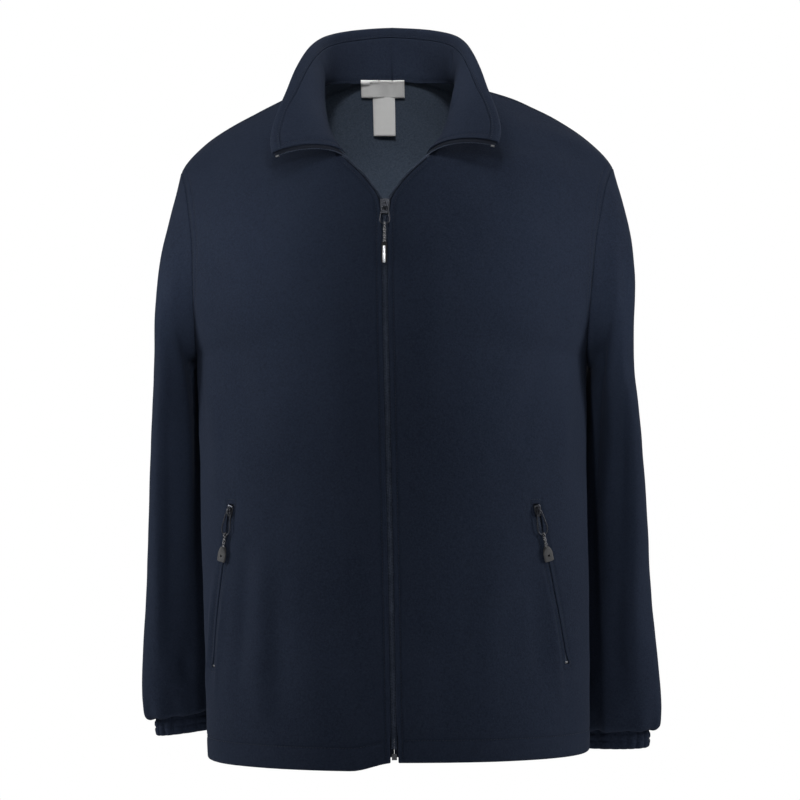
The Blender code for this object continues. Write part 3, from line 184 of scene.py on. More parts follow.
def settled(points, leans=True, drops=True):
    """How the garment hangs: a little to the wearer's left, and lower at the wearer's right hem."""
    points = np.array(points, float)
    x, y, z = points[..., 0], points[..., 1], points[..., 2]
    shift = SWAY[0] + (SWAY[1] - SWAY[0]) * np.clip((-0.2 - z) / 0.5, 0, 1)
    if leans:
        shift = shift + SHOULDER_LEAN * ease(np.abs(x), 0.075, 0.135) * ease(z, -0.31, -0.15)
        shift = shift + SLEEVE_LEAN * ease(np.abs(x), 0.205, 0.25) * ease(z, -0.6, -0.33)
        points[..., 2] = z + SHOULDER_LIFT * ease(x, 0.075, 0.135) * ease(z, -0.31, -0.15)
        z = points[..., 2]
    if drops:
        behind = 0.5 * (1 - np.clip(x / 0.2, -1, 1))
        before = ease(-x, 0.0, 0.045)
        share = before + (behind - before) * ease(y, -0.02, 0.02)
        points[..., 2] = z - HEM_DROP * share * np.clip((-0.4 - z) / 0.3, 0, 1)
    points[..., 0] = x + shift
    return points


# ---- The form: body, collar and sleeve as functions of row and share ----
def outer_ends(table, rows):
    """The side seam and, above the underarm, the armhole: two curves that meet in a corner."""
    seam = through(table[:ROW_UNDERARM + 1], np.minimum(rows, ROW_UNDERARM))
    hole = through(table[ROW_UNDERARM:], np.maximum(rows - ROW_UNDERARM, 0))
    return np.where((rows <= ROW_UNDERARM)[:, None], seam, hole)


def body_point(face, rows, shares, side=1.0):
    """Points on the front or back, at row numbers and at shares of the way from the middle to the side."""
    rows, shares = np.broadcast_arrays(np.asarray(rows, float), np.asarray(shares, float))
    flat, front = rows.ravel(), face == "front"
    inner = through(FRONT_INNER if front else BACK_INNER, flat)
    outer = outer_ends(FRONT_OUTER if front else BACK_OUTER, flat)
    chord = np.linalg.norm(outer[:, :3] - inner[:, :3], axis=1, keepdims=True)
    start = heading_vector(inner[:, 3], inner[:, 4])
    arrival = heading_vector(outer[:, 3], outer[:, 4])
    if not front:
        arrival[:, :2] *= -1  # the back's rows arrive from behind
    p0, p3 = inner[:, :3], outer[:, :3]
    p1 = p0 + start * chord * inner[:, 5:6]
    p2 = p3 - arrival * chord * outer[:, 5:6]
    points = cubic(p0, p1, p2, p3, shares.ravel())
    points[:, 0] *= side
    return points.reshape(rows.shape + (3,))


def neckline(at, side=1.0):
    """The neck seam, from the collar's corner (0) over the shoulder point (3) to the middle back (6)."""
    at = np.atleast_1d(np.asarray(at, float))
    front = through(FRONT_INNER, np.minimum(ROW_COLLAR + at, ROW_SHOULDER))[:, :3]
    back = through(BACK_INNER, np.maximum(ROW_SHOULDER + 3 - at, ROW_COLLAR))[:, :3]
    points = np.where((at <= 3)[:, None], front, back)
    points[:, 0] *= side
    return points


def collar_point(at, shares, side=1.0):
    """Points on the collar, at stations 0 (wing) to 6 (middle back) and shares from neckline to edge."""
    at, shares = np.broadcast_arrays(np.asarray(at, float), np.asarray(shares, float))
    flat = at.ravel()
    root = neckline(flat)
    edge = through(COLLAR_ROWS, flat * (len(COLLAR_ROWS) - 1) / 6)
    along = unit(neckline(np.minimum(flat + 0.05, 6)) - neckline(np.maximum(flat - 0.05, 0)))
    across = edge[:, :3] - root
    lift = unit(np.cross(across, along))
    bow = lift * edge[:, 3:4]
    p1 = root + across * 0.25 + bow * 1.3
    p2 = root + across * 0.7 + bow * 1.1
    points = cubic(root, p1, p2, edge[:, :3], shares.ravel())
    points[:, 0] *= side
    points[:, 2] -= WING_DROP[side] * shares.ravel() * ease(-flat, -2.5, 0)
    return points.reshape(at.shape + (3,))


RING = 2 * (ROW_SHOULDER - ROW_UNDERARM)  # steps round an armhole
OUTWARD, DOWNWARD = np.array([1.0, 0, 0]), np.array([0, 0, -1.0])


def armhole(steps):
    """The armhole from the shoulder point down the front, under the arm and up the back, with the
    direction in which the body's cloth arrives. One step is a row of the body."""
    steps = np.atleast_1d(np.asarray(steps, float))
    half = RING / 2
    in_front = steps <= half
    row = np.where(in_front, ROW_SHOULDER - steps, ROW_UNDERARM + steps - half)
    ends = np.where(in_front[:, None], outer_ends(FRONT_OUTER, row), outer_ends(BACK_OUTER, row))
    arrival = heading_vector(ends[:, 3], ends[:, 4])
    arrival[:, :2] *= np.where(in_front, 1, -1)[:, None]
    return ends[:, :3], arrival


def oval_ring(row, steps):
    """A level oval of the sleeve: x, y, z for steps round it, the outer side first and then the front."""
    z, x, y, broad, thin, heading = row
    angle = -2 * np.pi * np.asarray(steps, float) / RING
    turn = math.radians(heading)
    c, s = math.cos(turn), math.sin(turn)
    stretch = np.array([[c * c * broad + s * s * thin, c * s * (broad - thin)],
                        [c * s * (broad - thin), s * s * broad + c * c * thin]])
    plan = np.stack([np.cos(angle), np.sin(angle)], -1) @ stretch
    return np.column_stack([plan + (x, y), np.full(len(plan), z)])


def sleeve_point(levels, steps, hand):
    """Points on a sleeve. Levels 0 to 1 are the cap, from the armhole to the first oval, and each
    further whole number is an oval."""
    levels = np.atleast_1d(np.asarray(levels, float))
    steps = np.asarray(steps, float)
    start, arrival = armhole(steps)
    first = oval_ring(SLEEVE_ROWS[0], steps)
    second = oval_ring(SLEEVE_ROWS[1], steps)
    outerness = np.cos(2 * np.pi * steps / RING)[:, None]
    up, low = np.clip(outerness, 0, 1), np.clip(-outerness, 0, 1)
    leave = unit(arrival * (0.4 + 0.2 * up - 0.4 * low) + OUTWARD * (0.3 - 0.32 * up + 0.55 * low)
                 + DOWNWARD * (0.4 + 0.05 * low))
    span = np.linalg.norm(first - start, axis=1, keepdims=True)
    down = unit(second - first)
    p1 = start + leave * span * 0.38
    p2 = first - down * span * 0.36
    grid = np.array([cubic(start, p1, p2, first, np.full(len(steps), level)) if level <= 1
                     else oval_ring(through(SLEEVE_ROWS, level - 1)[0], steps) for level in levels])
    share = np.clip((UNDERARM_Z - grid[..., 2]) / (UNDERARM_Z - SLEEVE_ROWS[-1][0]), 0, 1)
    grid[..., 2] -= SLEEVE_DROP[hand] * share
    grid[..., 0] *= SIDES[hand]
    return grid


def slanted(points, hand):
    """Tips the end of a sleeve and its cuff."""
    points = np.array(points, float)
    away = np.abs(points[..., 0]) - SLEEVE_ROWS[-1][1]
    points[..., 2] += CUFF_SLANT[hand] * away * ease(-points[..., 2], 0.56, 0.67)
    return points


def row_at(z):
    """The row number of the body, below the underarm, at a height."""
    rows = np.linspace(0, ROW_UNDERARM, 401)
    return float(np.interp(z, through(FRONT_OUTER, rows)[:, 2], rows))


ROW_HEM = row_at(-BODY_LENGTH + HEM_DEPTH)
ROW_POCKET_END = row_at(POCKET_END_Z)
ROW_POCKET_TOP = row_at(POCKET_TOP_Z)
ROW_V_START = ROW_ZIP_OPEN - 0.5
TAPE_COVERED = 0.009  # middle of the zip to the tape's hidden edge
CORNER_AT = 0.105  # where the set-back fabric edges meet on the neckline


def share_at_x(row, x):
    """The share of a front's row at which it is x from the middle."""
    shares = np.linspace(0, 1, 401)
    return float(np.interp(x, body_point("front", row, shares)[:, 0], shares))


def pocket_share(rows, hand):
    """Share of the row at which the pocket slit lies, held level above and below the slit."""
    top_x, end_x = POCKET_X[hand]
    ends = [share_at_x(ROW_POCKET_END, end_x), share_at_x(ROW_POCKET_TOP, top_x)]
    return np.interp(rows, [ROW_POCKET_END, ROW_POCKET_TOP, ROW_SHOULDER], [*ends, 0.62])


def row_speed(rows, shares, face="front"):
    """Metres per share along the rows, at a share."""
    step = 1e-4
    return norm(body_point(face, rows, shares + step) - body_point(face, rows, shares)) / step


def normals_of(point, u, v, step, u_end, v_end):
    """Normals of a surface, from small steps on it that stay within its bounds."""
    along_u = point(np.minimum(u + step, u_end), v) - point(np.maximum(u - step, 0), v)
    along_v = point(u, np.minimum(v + step, v_end)) - point(u, np.maximum(v - step, 0))
    return unit(np.cross(along_u, along_v))


def body_normals(face, rows, shares, side):
    """Outward normals of the body; those of collar and sleeves below are outward too."""
    inside = side if face == "back" else -side
    return inside * normals_of(lambda u, v: body_point(face, u, v, side), rows, shares, 2e-3, ROW_SHOULDER, 1)


def collar_normals(at, shares, side):
    return side * normals_of(lambda u, v: collar_point(u, v, side), at, shares, 4e-3, 6, 1)


def sleeve_normals(level, steps, hand):
    step = 1e-3
    down = sleeve_point(level + step, steps, hand) - sleeve_point(level - step, steps, hand)
    round_it = sleeve_point(level, steps + step, hand) - sleeve_point(level, steps - step, hand)
    return unit(np.cross(round_it, down)[0]) * SIDES[hand]


# The sleeve blouses over the cuff before it is gathered into it: share of the way from the last oval in
# to the cuff, and drop below the last oval.
BLOUSE = [(0.07, 0.0042), (0.42, 0.0056)]
CUFF_MOUTH = (0.0064, 0.0046)  # opening round the cuff, beyond its form, and its drop


def cuff_oval(z, grow=0.0):
    last = SLEEVE_ROWS[-1]
    return (z, last[1], last[2], CUFF_OVAL[0] + grow, CUFF_OVAL[1] + grow, last[5])


# ---- Materials -------------------------------
class Nodes:
    """A short way to write a node tree for a Principled shader."""

    def __init__(self, name, roughness=0.9, metallic=0.0, sheen=0.0, specular=0.5):
        self.material = bpy.data.materials.new(name)
        self.material.use_nodes = True
        self.tree = self.material.node_tree
        self.shader = self.tree.nodes["Principled BSDF"]
        self.set(self.shader, Roughness=roughness, Metallic=metallic, Specular_IOR_Level=specular)
        if sheen:
            self.set(self.shader, Sheen_Weight=sheen, Sheen_Roughness=0.45, Sheen_Tint=(0.42, 0.55, 0.95, 1))
        self.place = self.new("TexCoord").outputs["Object"]

    def set(self, node, **values):
        for key, value in values.items():
            node.inputs[key.replace("_", " ")].default_value = value
        return node

    def new(self, kind, **values):
        return self.set(self.tree.nodes.new("ShaderNode" + kind), **values)

    def link(self, a, b):
        self.tree.links.new(a, b)

    def noise(self, scale, detail=2.0, rough=0.5):
        made = self.new("TexNoise", Scale=scale, Detail=detail, Roughness=rough)
        self.link(self.place, made.inputs["Vector"])
        return made.outputs["Fac"]

    def wave(self, scale, direction, distortion):
        made = self.new("TexWave", Scale=scale, Distortion=distortion)
        made.bands_direction = direction
        self.link(self.place, made.inputs["Vector"])
        return made.outputs["Fac"]

    def ramp(self, value, *stops):
        made = self.new("ValToRGB")
        for stop, (at, colour) in zip(made.color_ramp.elements, stops):
            stop.position, stop.color = at, (*colour, 1)
        self.link(value, made.inputs["Fac"])
        return made.outputs["Color"]

    def mix(self, factor, a, b, mode="MIX"):
        made = self.new("Mix")
        made.data_type, made.blend_type = "RGBA", mode
        for socket, value in ((made.inputs[0], factor), (made.inputs[6], a), (made.inputs[7], b)):
            if isinstance(value, bpy.types.NodeSocket):
                self.link(value, socket)
            else:
                socket.default_value = value if isinstance(value, float) else (*value, 1)
        return made.outputs[2]

    def colour(self, value):
        self.link(value, self.shader.inputs["Base Color"])

    def rough(self, value, low, high):
        made = self.new("MapRange", To_Min=low, To_Max=high)
        self.link(value, made.inputs["Value"])
        self.link(made.outputs["Result"], self.shader.inputs["Roughness"])

    def bump(self, *layers):
        """Lays bumps, each a (height, distance, strength), over one another. Returns the material."""
        normal = None
        for value, distance, strength in layers:
            made = self.new("Bump", Distance=distance, Strength=strength)
            self.link(value, made.inputs["Height"])
            if normal:
                self.link(normal, made.inputs["Normal"])
            normal = made.outputs["Normal"]
        self.link(normal, self.shader.inputs["Normal"])
        return self.material


BLACK, WHITE = (0, 0, 0), (1, 1, 1)


def fleece(name, dark, light, fleck, nap=0.55, sheen=0.012):
    """Napped microfleece: a fine matted pile with small pale flecks and slow changes where it is brushed."""
    n = Nodes(name, 0.95, sheen=sheen, specular=0.08)
    brushed = n.ramp(n.noise(7.0, 3.0, 0.5), (0.34, dark), (0.68, light))
    matted = n.noise(620.0, 5.0, 0.75)
    base = n.mix(n.ramp(matted, (0.4, BLACK), (0.72, WHITE)), brushed, fleck)
    pits = n.ramp(n.noise(420.0, 3.0, 0.6), (0.3, (0.8, 0.8, 0.8)), (0.55, WHITE))
    n.colour(n.mix(1.0, base, pits, "MULTIPLY"))
    n.rough(n.noise(40.0, 2.0), 0.86, 1.0)
    return n.bump((n.noise(260.0, 5.0, 0.7), 0.0005, nap), (matted, 0.0004, nap))


def woven(name, dark, light, pitch, roughness):
    n = Nodes(name, roughness, specular=0.15)
    weave = n.mix(0.5, n.wave(pitch, "Z", 0.4), n.wave(pitch, "X", 0.4))
    n.colour(n.mix(n.noise(180.0, 3.0), n.ramp(weave, (0.2, dark), (0.8, light)), light))
    return n.bump((weave, 0.00025, 0.5), (n.noise(900.0, 3.0), 0.0001, 0.4))


def lacquered(name, colour, wear, roughness, metallic=0.85):
    n = Nodes(name, roughness, metallic)
    n.colour(n.mix(n.ramp(n.noise(420.0, 4.0, 0.6), (0.55, BLACK), (0.8, WHITE)), colour, wear))
    n.rough(n.noise(150.0, 3.0), roughness - 0.08, roughness + 0.16)
    return n.bump((n.noise(700.0, 3.0), 0.00006, 0.35))


def moulded(name, dark, light, roughness, specular=0.5):
    n = Nodes(name, roughness, specular=specular)
    n.colour(n.ramp(n.noise(90.0, 3.0), (0.3, dark), (0.7, light)))
    n.rough(n.noise(300.0, 3.0), roughness - 0.1, roughness + 0.15)
    return n.bump((n.noise(1500.0, 3.0, 0.6), 0.00008, 0.5))


def thread(name, dark, light, roughness=0.55, twist=900.0):
    n = Nodes(name, roughness, specular=0.2)
    n.colour(n.ramp(n.wave(twist, "DIAGONAL", 1.5), (0.35, dark), (0.65, light)))
    return n.bump((n.wave(twist, "DIAGONAL", 1.5), 0.0001, 0.5))


FLEECE_OUT = fleece("fleece", (0.0084, 0.0126, 0.0242), (0.0112, 0.0164, 0.0305), (0.0165, 0.0228, 0.039))
# Inner faces: the same fleece with its own grainier nap, but painted about four times lighter. This painted
# light stands in for the light that reaches the jacket's inside.
FLEECE_IN_PAINTED_LIGHT = fleece("fleece_inside_painted_light", (0.048, 0.066, 0.098), (0.06, 0.08, 0.115), (0.082, 0.102, 0.135),
                   nap=0.7, sheen=0.02)
FLEECE_COLLAR = fleece("fleece_collar", (0.0112, 0.016, 0.0295), (0.0144, 0.0202, 0.036),
                       (0.02, 0.0268, 0.044))
TAPE = woven("zip_tape", (0.0045, 0.006, 0.0105), (0.0085, 0.0112, 0.019), 620.0, 0.85)
COIL = moulded("zip_coil", (0.024, 0.034, 0.058), (0.048, 0.062, 0.096), 0.6, 0.2)
THREAD = thread("thread", (0.006, 0.009, 0.017), (0.01, 0.0145, 0.026))
METAL = lacquered("dark_metal", (0.04, 0.043, 0.052), (0.115, 0.12, 0.132), 0.28)
SLIDER_METAL = lacquered("slider_metal", (0.022, 0.024, 0.03), (0.062, 0.066, 0.076), 0.36)
STOP = lacquered("stop_metal", (0.2, 0.205, 0.215), (0.3, 0.3, 0.31), 0.34, 0.9)
BRIGHT = lacquered("bright_metal", (0.46, 0.47, 0.49), (0.62, 0.62, 0.64), 0.28, 1.0)
CORD_DARK = thread("cord_black", (0.004, 0.004, 0.005), (0.24, 0.245, 0.26), 0.7, twist=270.0)
MOULD = moulded("moulded_grey", (0.026, 0.027, 0.029), (0.04, 0.041, 0.044), 0.6)
TIP_DARK = moulded("moulded_dark", (0.004, 0.0042, 0.0048), (0.008, 0.0084, 0.0092), 0.6, 0.15)
BOX_GREY = moulded("box_grey", (0.07, 0.073, 0.082), (0.105, 0.109, 0.12), 0.5)
LABEL = woven("label_white", (0.78, 0.78, 0.77), (0.92, 0.92, 0.91), 1100.0, 0.75)
LABEL_THREAD = thread("label_thread", (0.62, 0.62, 0.62), (0.84, 0.84, 0.84))


# ---- Making pieces ---------------------------
def linked(name, data):
    obj = bpy.data.objects.new(name, data)
    bpy.context.scene.collection.objects.link(obj)
    return obj


def new_object(name, vertices, faces, *materials, indices=None, smooth=True):
    mesh = bpy.data.meshes.new(name)
    mesh.from_pydata([tuple(map(float, v)) for v in vertices], [], [tuple(map(int, f)) for f in faces])
    for one in materials:
        mesh.materials.append(one)
    if indices is not None:
        mesh.polygons.foreach_set("material_index", indices)
    mesh.update()
    if smooth:
        mesh.shade_smooth()
    return linked(name, mesh)


def finish_piece(obj, slot, body="jacket", *nodes):
    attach(obj, body)
    if nodes:
        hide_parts(*nodes)
    return obj


def nearest(points, line):
    """Distance from each point to the nearest of a line's points."""
    tree = KDTree(len(line))
    for index, point in enumerate(line):
        tree.insert(point, index)
    tree.balance()
    return np.array([tree.find(point)[2] for point in points])


def lengths(line):
    """The length along a line up to each of its points."""
    return np.concatenate([[0], np.cumsum(norm(np.diff(line, axis=0)))])


def along(line, run, at):
    """The points of a line at lengths along it."""
    return np.stack([np.interp(at, run, line[:, k]) for k in range(3)], -1)


def dense(line, spacing=0.0008):
    """Points along a line, evenly spaced."""
    run = lengths(line)
    return along(line, run, np.arange(0, run[-1], spacing))


def tree_of(mesh):
    return BVHTree.FromPolygons([v.co[:] for v in mesh.vertices], [p.vertices[:] for p in mesh.polygons])


CAD_TREES = {}


def cad_hit(node, start, direction):
    """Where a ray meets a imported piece."""
    if node not in CAD_TREES:
        CAD_TREES[node] = tree_of(NODES[node].data)
    return CAD_TREES[node].ray_cast(Vector(start), Vector(direction))[0]


# Soft folds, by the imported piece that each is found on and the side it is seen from. A fold is its height
# (below zero for a trough) and width in tenths of a millimetre, and its line in millimetres: x and z of
# each point from front and back, y and z from the sides. Heights fade to nothing at both ends.
FOLDS = {
    ("sleeve_left", "front"): [
        (30, 95, 236, -125, 240, -220, 236, -330, 232, -450, 236, -560),
        (-26, 80, 247, -170, 251, -270, 247, -380, 247, -500),
        (-34, 100, 222, -200, 224, -290, 218, -400, 217, -520, 222, -640),
        (24, 100, 257, -330, 262, -440, 262, -550, 264, -655), (-22, 90, 246, -520, 243, -590, 249, -660)],
    ("sleeve_left", "left"): [
        (-30, 120, 60, -160, 85, -300, 110, -440, 115, -580),
        (26, 130, 20, -130, 50, -280, 85, -420, 100, -620)],
    ("sleeve_left", "back"): [
        (-32, 110, 235, -200, 215, -330, 205, -470, 200, -600), (28, 120, 250, -250, 235, -400, 225, -550)],
    ("sleeve_right", "front"): [
        (28, 100, -222, -150, -222, -250, -214, -360, -216, -470, -220, -580),
        (-30, 90, -208, -200, -206, -310, -204, -430, -204, -550),
        (-24, 85, -232, -270, -231, -380, -234, -500, -238, -610),
        (20, 90, -245, -400, -247, -500, -250, -620), (-24, 80, -222, -600, -218, -640, -222, -680)],
    ("sleeve_right", "right"): [
        (-32, 120, 50, -170, 80, -310, 110, -460, 112, -600),
        (24, 130, 10, -150, 45, -300, 80, -450, 90, -630)],
    ("sleeve_right", "back"): [
        (-30, 110, -225, -220, -205, -350, -190, -490, -186, -600),
        (26, 120, -240, -280, -222, -430, -212, -570)],
    ("front_left", "front"): [
        (-26, 150, 190, -235, 160, -300, 135, -380), (22, 120, 198, -270, 186, -340, 178, -430),
        (12, 220, 60, -150, 52, -250, 50, -380), (20, 200, 120, -460, 112, -560, 110, -660),
        (-18, 120, 150, -480, 158, -560, 164, -640), (-16, 200, 60, -560, 64, -630, 62, -690),
        (-10, 160, 20, -420, 26, -520, 30, -640), (14, 50, 166, -500, 176, -580, 183, -650)],
    ("front_right", "front"): [
        (-26, 150, -185, -235, -150, -300, -120, -390), (22, 120, -190, -280, -178, -350, -172, -430),
        (12, 220, -50, -170, -46, -280, -50, -400), (-24, 90, -140, -470, -146, -560, -152, -650),
        (22, 110, -124, -480, -126, -580, -128, -670), (-18, 120, -106, -500, -108, -590, -106, -680),
        (14, 180, -70, -560, -72, -630, -68, -690), (-10, 140, -18, -440, -14, -540, -6, -650),
        (22, 50, -176, -505, -184, -585, -190, -640, -194, -695),
        (16, 45, -163, -500, -172, -580, -178, -650)],
    ("collar_inner", "front"): [
        (-26, 40, 76.5, 40, 75, 16, 73.5, -8, 71, -30), (22, 42, 68, 40, 67, 16, 66, -8)],
    ("back", "back"): [
        (-34, 180, 180, -230, 120, -300, 60, -400), (-34, 180, -175, -235, -115, -310, -60, -420),
        (34, 200, 150, -280, 100, -380, 75, -520, 80, -660),
        (34, 200, -140, -290, -95, -400, -80, -540, -85, -670), (-26, 200, 10, -300, 18, -440, 10, -600),
        (16, 180, -110, -140, -20, -165, 90, -150), (-28, 150, 120, -520, 128, -600, 126, -690),
        (-28, 150, -125, -500, -130, -600, -128, -690), (24, 170, -35, -480, -40, -580, -36, -690)],
}
VIEWS = {"front": (0, -1), "back": (0, 1), "left": (1, 0), "right": (-1, 0)}  # x and y of the viewer
SLEEVE_DEPTH, BODY_DEPTH = 1.7, 1.3  # how much deeper than stated the folds are made


def fold_lines():
    """Each fold as the points of its line, the heights there and its width."""
    lines = []
    for (node, face), rows in FOLDS.items():
        x, y = VIEWS[face]
        for height, width, *places in rows:
            places = np.reshape(places, (-1, 2)) / 1000
            hits = [cad_hit(node, (a, y, z) if y else (x, a, z), (-x, -y, 0)) for a, z in places]
            found = np.array([hit[:] for hit in hits if hit is not None])
            if len(found) > 1:
                height = height / 10000 * (SLEEVE_DEPTH if node.startswith("sleeve") else BODY_DEPTH)
                share = np.linspace(0, 1, 40)
                fade = np.sin(math.pi * share)**0.7
                lines.append((through(found, (len(found) - 1) * share), height * fade, width / 10000))
    return lines


FOLD_LINES = fold_lines()


def folds(points):
    """How far the cloth stands out of its form at each point."""
    flat = points.reshape(-1, 3)
    lift = np.array([0.0009 * noise.noise(Vector(p) * 13.0)
                     + 0.0006 * noise.noise(Vector(p) * 31.0 + Vector((5, 1, 2))) for p in flat])
    for line, heights, width in FOLD_LINES:
        reach = 3 * width
        near = np.flatnonzero(np.all((flat > line.min(0) - reach) & (flat < line.max(0) + reach), axis=1))
        if len(near):
            away = norm(flat[near, None] - line[None])
            best = away.argmin(1)
            lift[near] += heights[best] * np.exp(-(away[np.arange(len(near)), best] / width)**2)
    return lift.reshape(points.shape[:-1])


EDGE_RADIUS = 0.0011
SAME_PLACE = 2e-6  # points nearer to each other than this are one
PINCH, PINCH_WIDTH = 0.72, 0.002  # share of the thickness that a row of stitches takes up, and its width
SEWN = {}  # the surface of each piece, for stitches and labels to lie on


def wall(name, node, slot, middle, across, outward, inner_material, outer_material, skip=(), ring=False,
         thickness=FLEECE, pinches=(), quiet=False, radius=EDGE_RADIUS, merge=0.0):
    """A piece of cloth in place of a packed one: a grid of points in the middle of its thickness, the
    directions across it, and the directions in which folds move it. Its edges are rounded, and it is
    pinched along "pinches". A quiet piece has no folds, and a ring closes round its last column."""
    rows, columns = middle.shape[:2]
    if not quiet:
        middle = middle + outward * folds(middle)[..., None]
    index = np.arange(rows * columns).reshape(rows, columns)
    beside = np.roll(index, -1, axis=1)
    quads = np.stack([index[:-1], beside[:-1], beside[1:], index[1:]], -1)
    kept = np.ones(quads.shape[:2], bool)
    kept[:, -1] = ring
    for place in skip:
        kept[place] = False
    quads = quads[kept]
    edges = np.concatenate([quads[:, [k, (k + 1) % 4]] for k in range(4)])
    _, first, uses = np.unique(np.sort(edges, axis=1), axis=0, return_index=True, return_counts=True)
    rim = edges[first[uses == 1]]
    flat = middle.reshape(-1, 3)
    shares = np.linspace(0, 1, 6)[None, :, None]
    border = (flat[rim[:, 0]][:, None] * (1 - shares) + flat[rim[:, 1]][:, None] * shares).reshape(-1, 3)
    full = np.sqrt(np.clip(1 - (1 - np.clip(nearest(flat, border) / radius, 0, 1))**2, 0.02, 1))
    for line, depth in pinches:
        full *= 1 - depth * np.exp(-(nearest(flat, dense(line)) / PINCH_WIDTH)**2)
    half = across.reshape(-1, 3) * (thickness / 2 * full)[:, None]
    a, b = rim.T
    count = len(flat)
    faces = np.concatenate([quads[:, ::-1], quads + count, np.stack([a, b, b + count, a + count], -1)])
    obj = new_object(name, np.concatenate([flat - half, flat + half]), faces, inner_material, outer_material,
                     indices=[0] * len(quads) + [1] * (len(quads) + len(rim)))
    bm = bmesh.new()
    bm.from_mesh(obj.data)
    bmesh.ops.delete(bm, geom=[v for v in bm.verts if not v.link_faces], context="VERTS")
    if merge:
        bmesh.ops.remove_doubles(bm, verts=bm.verts, dist=merge)
    bmesh.ops.recalc_face_normals(bm, faces=bm.faces)
    bm.to_mesh(obj.data)
    bm.free()
    obj.data.shade_smooth()
    SEWN[name] = tree_of(obj.data)
    return finish_piece(obj, slot, "jacket", node)


def add_bar(vertices, faces, centres, sizes, u, v, sides=6):
    """Adds a small closed bar: round each centre a ring of points in the directions u and v."""
    base, last = len(vertices), len(vertices) + (len(centres) - 1) * sides
    for centre, size in zip(centres, sizes):
        for angle in (2 * math.pi * k / sides for k in range(sides)):
            vertices.append(centre + (u * math.cos(angle) + v * math.sin(angle)) * size)
    for i in range(base, last):
        j = i + 1 if (i + 1 - base) % sides else i + 1 - sides
        faces.append((i, j, j + sides, i + sides))
    faces.append(tuple(range(base + sides - 1, base - 1, -1)))
    faces.append(tuple(range(last, last + sides)))


# Rings of a stitch: share of its length, share of its radius, and rise in radii.
STITCH = ((0.0, 0.35, -0.4), (0.16, 0.9, 0.35), (0.5, 1.0, 0.6), (0.84, 0.9, 0.35), (1.0, 0.35, -0.4))


def stitched(name, lines, host, slot="fleece", pitch=0.0031, length=0.0023, radius=0.00024, material=THREAD,
             reach=0.012, sides=6):
    """Rows of stitches: each line is (points, outward directions) and the stitches lie on the host."""
    vertices, faces = [], []
    for points, outward in lines:
        run = lengths(points)
        for start in np.arange(0.0015, run[-1] - length, pitch):
            hits, normals = [], []
            for at in (start, start + length):
                n = Vector(along(outward, run, at)).normalized()
                above = Vector(along(points, run, at)) + n * reach
                hits.append(SEWN[host].ray_cast(above, -n, 2 * reach)[0])
                normals.append(n)
            a, b = hits
            if a is None or b is None or (b - a).length > 1.6 * length:
                continue
            ahead = (b - a).normalized()
            side = ahead.cross(normals[0]).normalized()
            up = side.cross(ahead)
            centres = [a.lerp(b, share) + up * (radius * rise) for share, _, rise in STITCH]
            sizes = [size for _, size, _ in STITCH]
            add_bar(vertices, faces, centres, sizes, side * radius, up * radius, sides)
    return finish_piece(new_object(name, vertices, faces, material), slot)


# ---- Fronts and back -------------------------
# Distances from an edge at which columns lie, close enough for the rounded edge and two rows of stitches.
NEAR_EDGE = np.array([0, 0.12, 0.35, 0.7, 1.2, 2.0, 3.1, 4.2, 5.0, 5.8, 6.6, 7.4, 8.2, 9.3, 10.6]) / 1000
MIDDLE = WALL_START + FLEECE / 2
BLEND = 0.009  # how far from a seam the cloth bends towards the piece it is sewn to
ROW_HEIGHT = 0.0985  # metres between the body's rows at the pockets
LIP_HALF_WIDTH = 0.0007  # half the gap of the pocket slit where the zip is shut
ZIP_LIP = 0.0029  # fabric edge to the middle of the zip, except beside slider and box


def stretch(low, high, low_speed, high_speed, count):
    """Columns between two shares, close together near both ends."""
    low, high = low[:, None], high[:, None]
    inner = np.linspace(0, 1, count)[None, 1:-1]
    first = low + NEAR_EDGE[None] / low_speed[:, None]
    last = high - NEAR_EDGE[None, ::-1] / high_speed[:, None]
    return np.concatenate([first, first[:, -1:] + (last[:, :1] - first[:, -1:]) * inner, last], axis=1)


def fine_rows():
    """Rows of the body, about 5 mm apart, with the rows that seams and slits need."""
    keep = [ROW_HEM, ROW_POCKET_END, ROW_POCKET_TOP]
    lower = [r for r in np.arange(ROW_HEM, ROW_UNDERARM, 0.055) if min(abs(r - k) for k in keep) > 0.03]
    close = [k + s * d for k in keep[1:] for s in (-1, 1) for d in (0.004, 0.012)]
    close += [ROW_HEM + d for d in (-0.028, -0.015, 0.006, 0.019)]
    upper = np.arange(ROW_UNDERARM, ROW_COLLAR - 0.03, 0.16)
    above = np.arange(ROW_COLLAR, ROW_SHOULDER - 0.12, 0.14)
    last = ROW_SHOULDER - np.array([0.09, 0.05, 0.028, 0.014, 0.005, 0.0])
    rows = np.concatenate([[0.0, 0.015, 0.04, 0.09, 0.14], lower, keep, close, upper,
                           [ROW_V_START, ROW_COLLAR - 0.02], above, last])
    return np.unique(np.round(rows, 5))


ROWS = fine_rows()


def arm_normals(steps, hand):
    """Directions halfway between body and sleeve round the armhole."""
    steps = np.asarray(steps, float) % RING
    side = SIDES[hand]
    rows = np.abs(steps - RING / 2) + ROW_UNDERARM
    front, back = (body_normals(face, rows, 1.0, side) for face in ("front", "back"))
    share = 0.5 + 0.5 * np.clip((steps - RING / 2) / 0.4, -1, 1)  # under the arm
    share = np.where(steps < 0.4, 0.5 - steps / 0.8, share)  # and at the shoulder
    share = np.where(steps > RING - 0.4, 0.5 + (RING - steps) / 0.8, share)[:, None]
    return unit(unit(front * (1 - share) + back * share) + sleeve_normals(0.06, steps, hand))


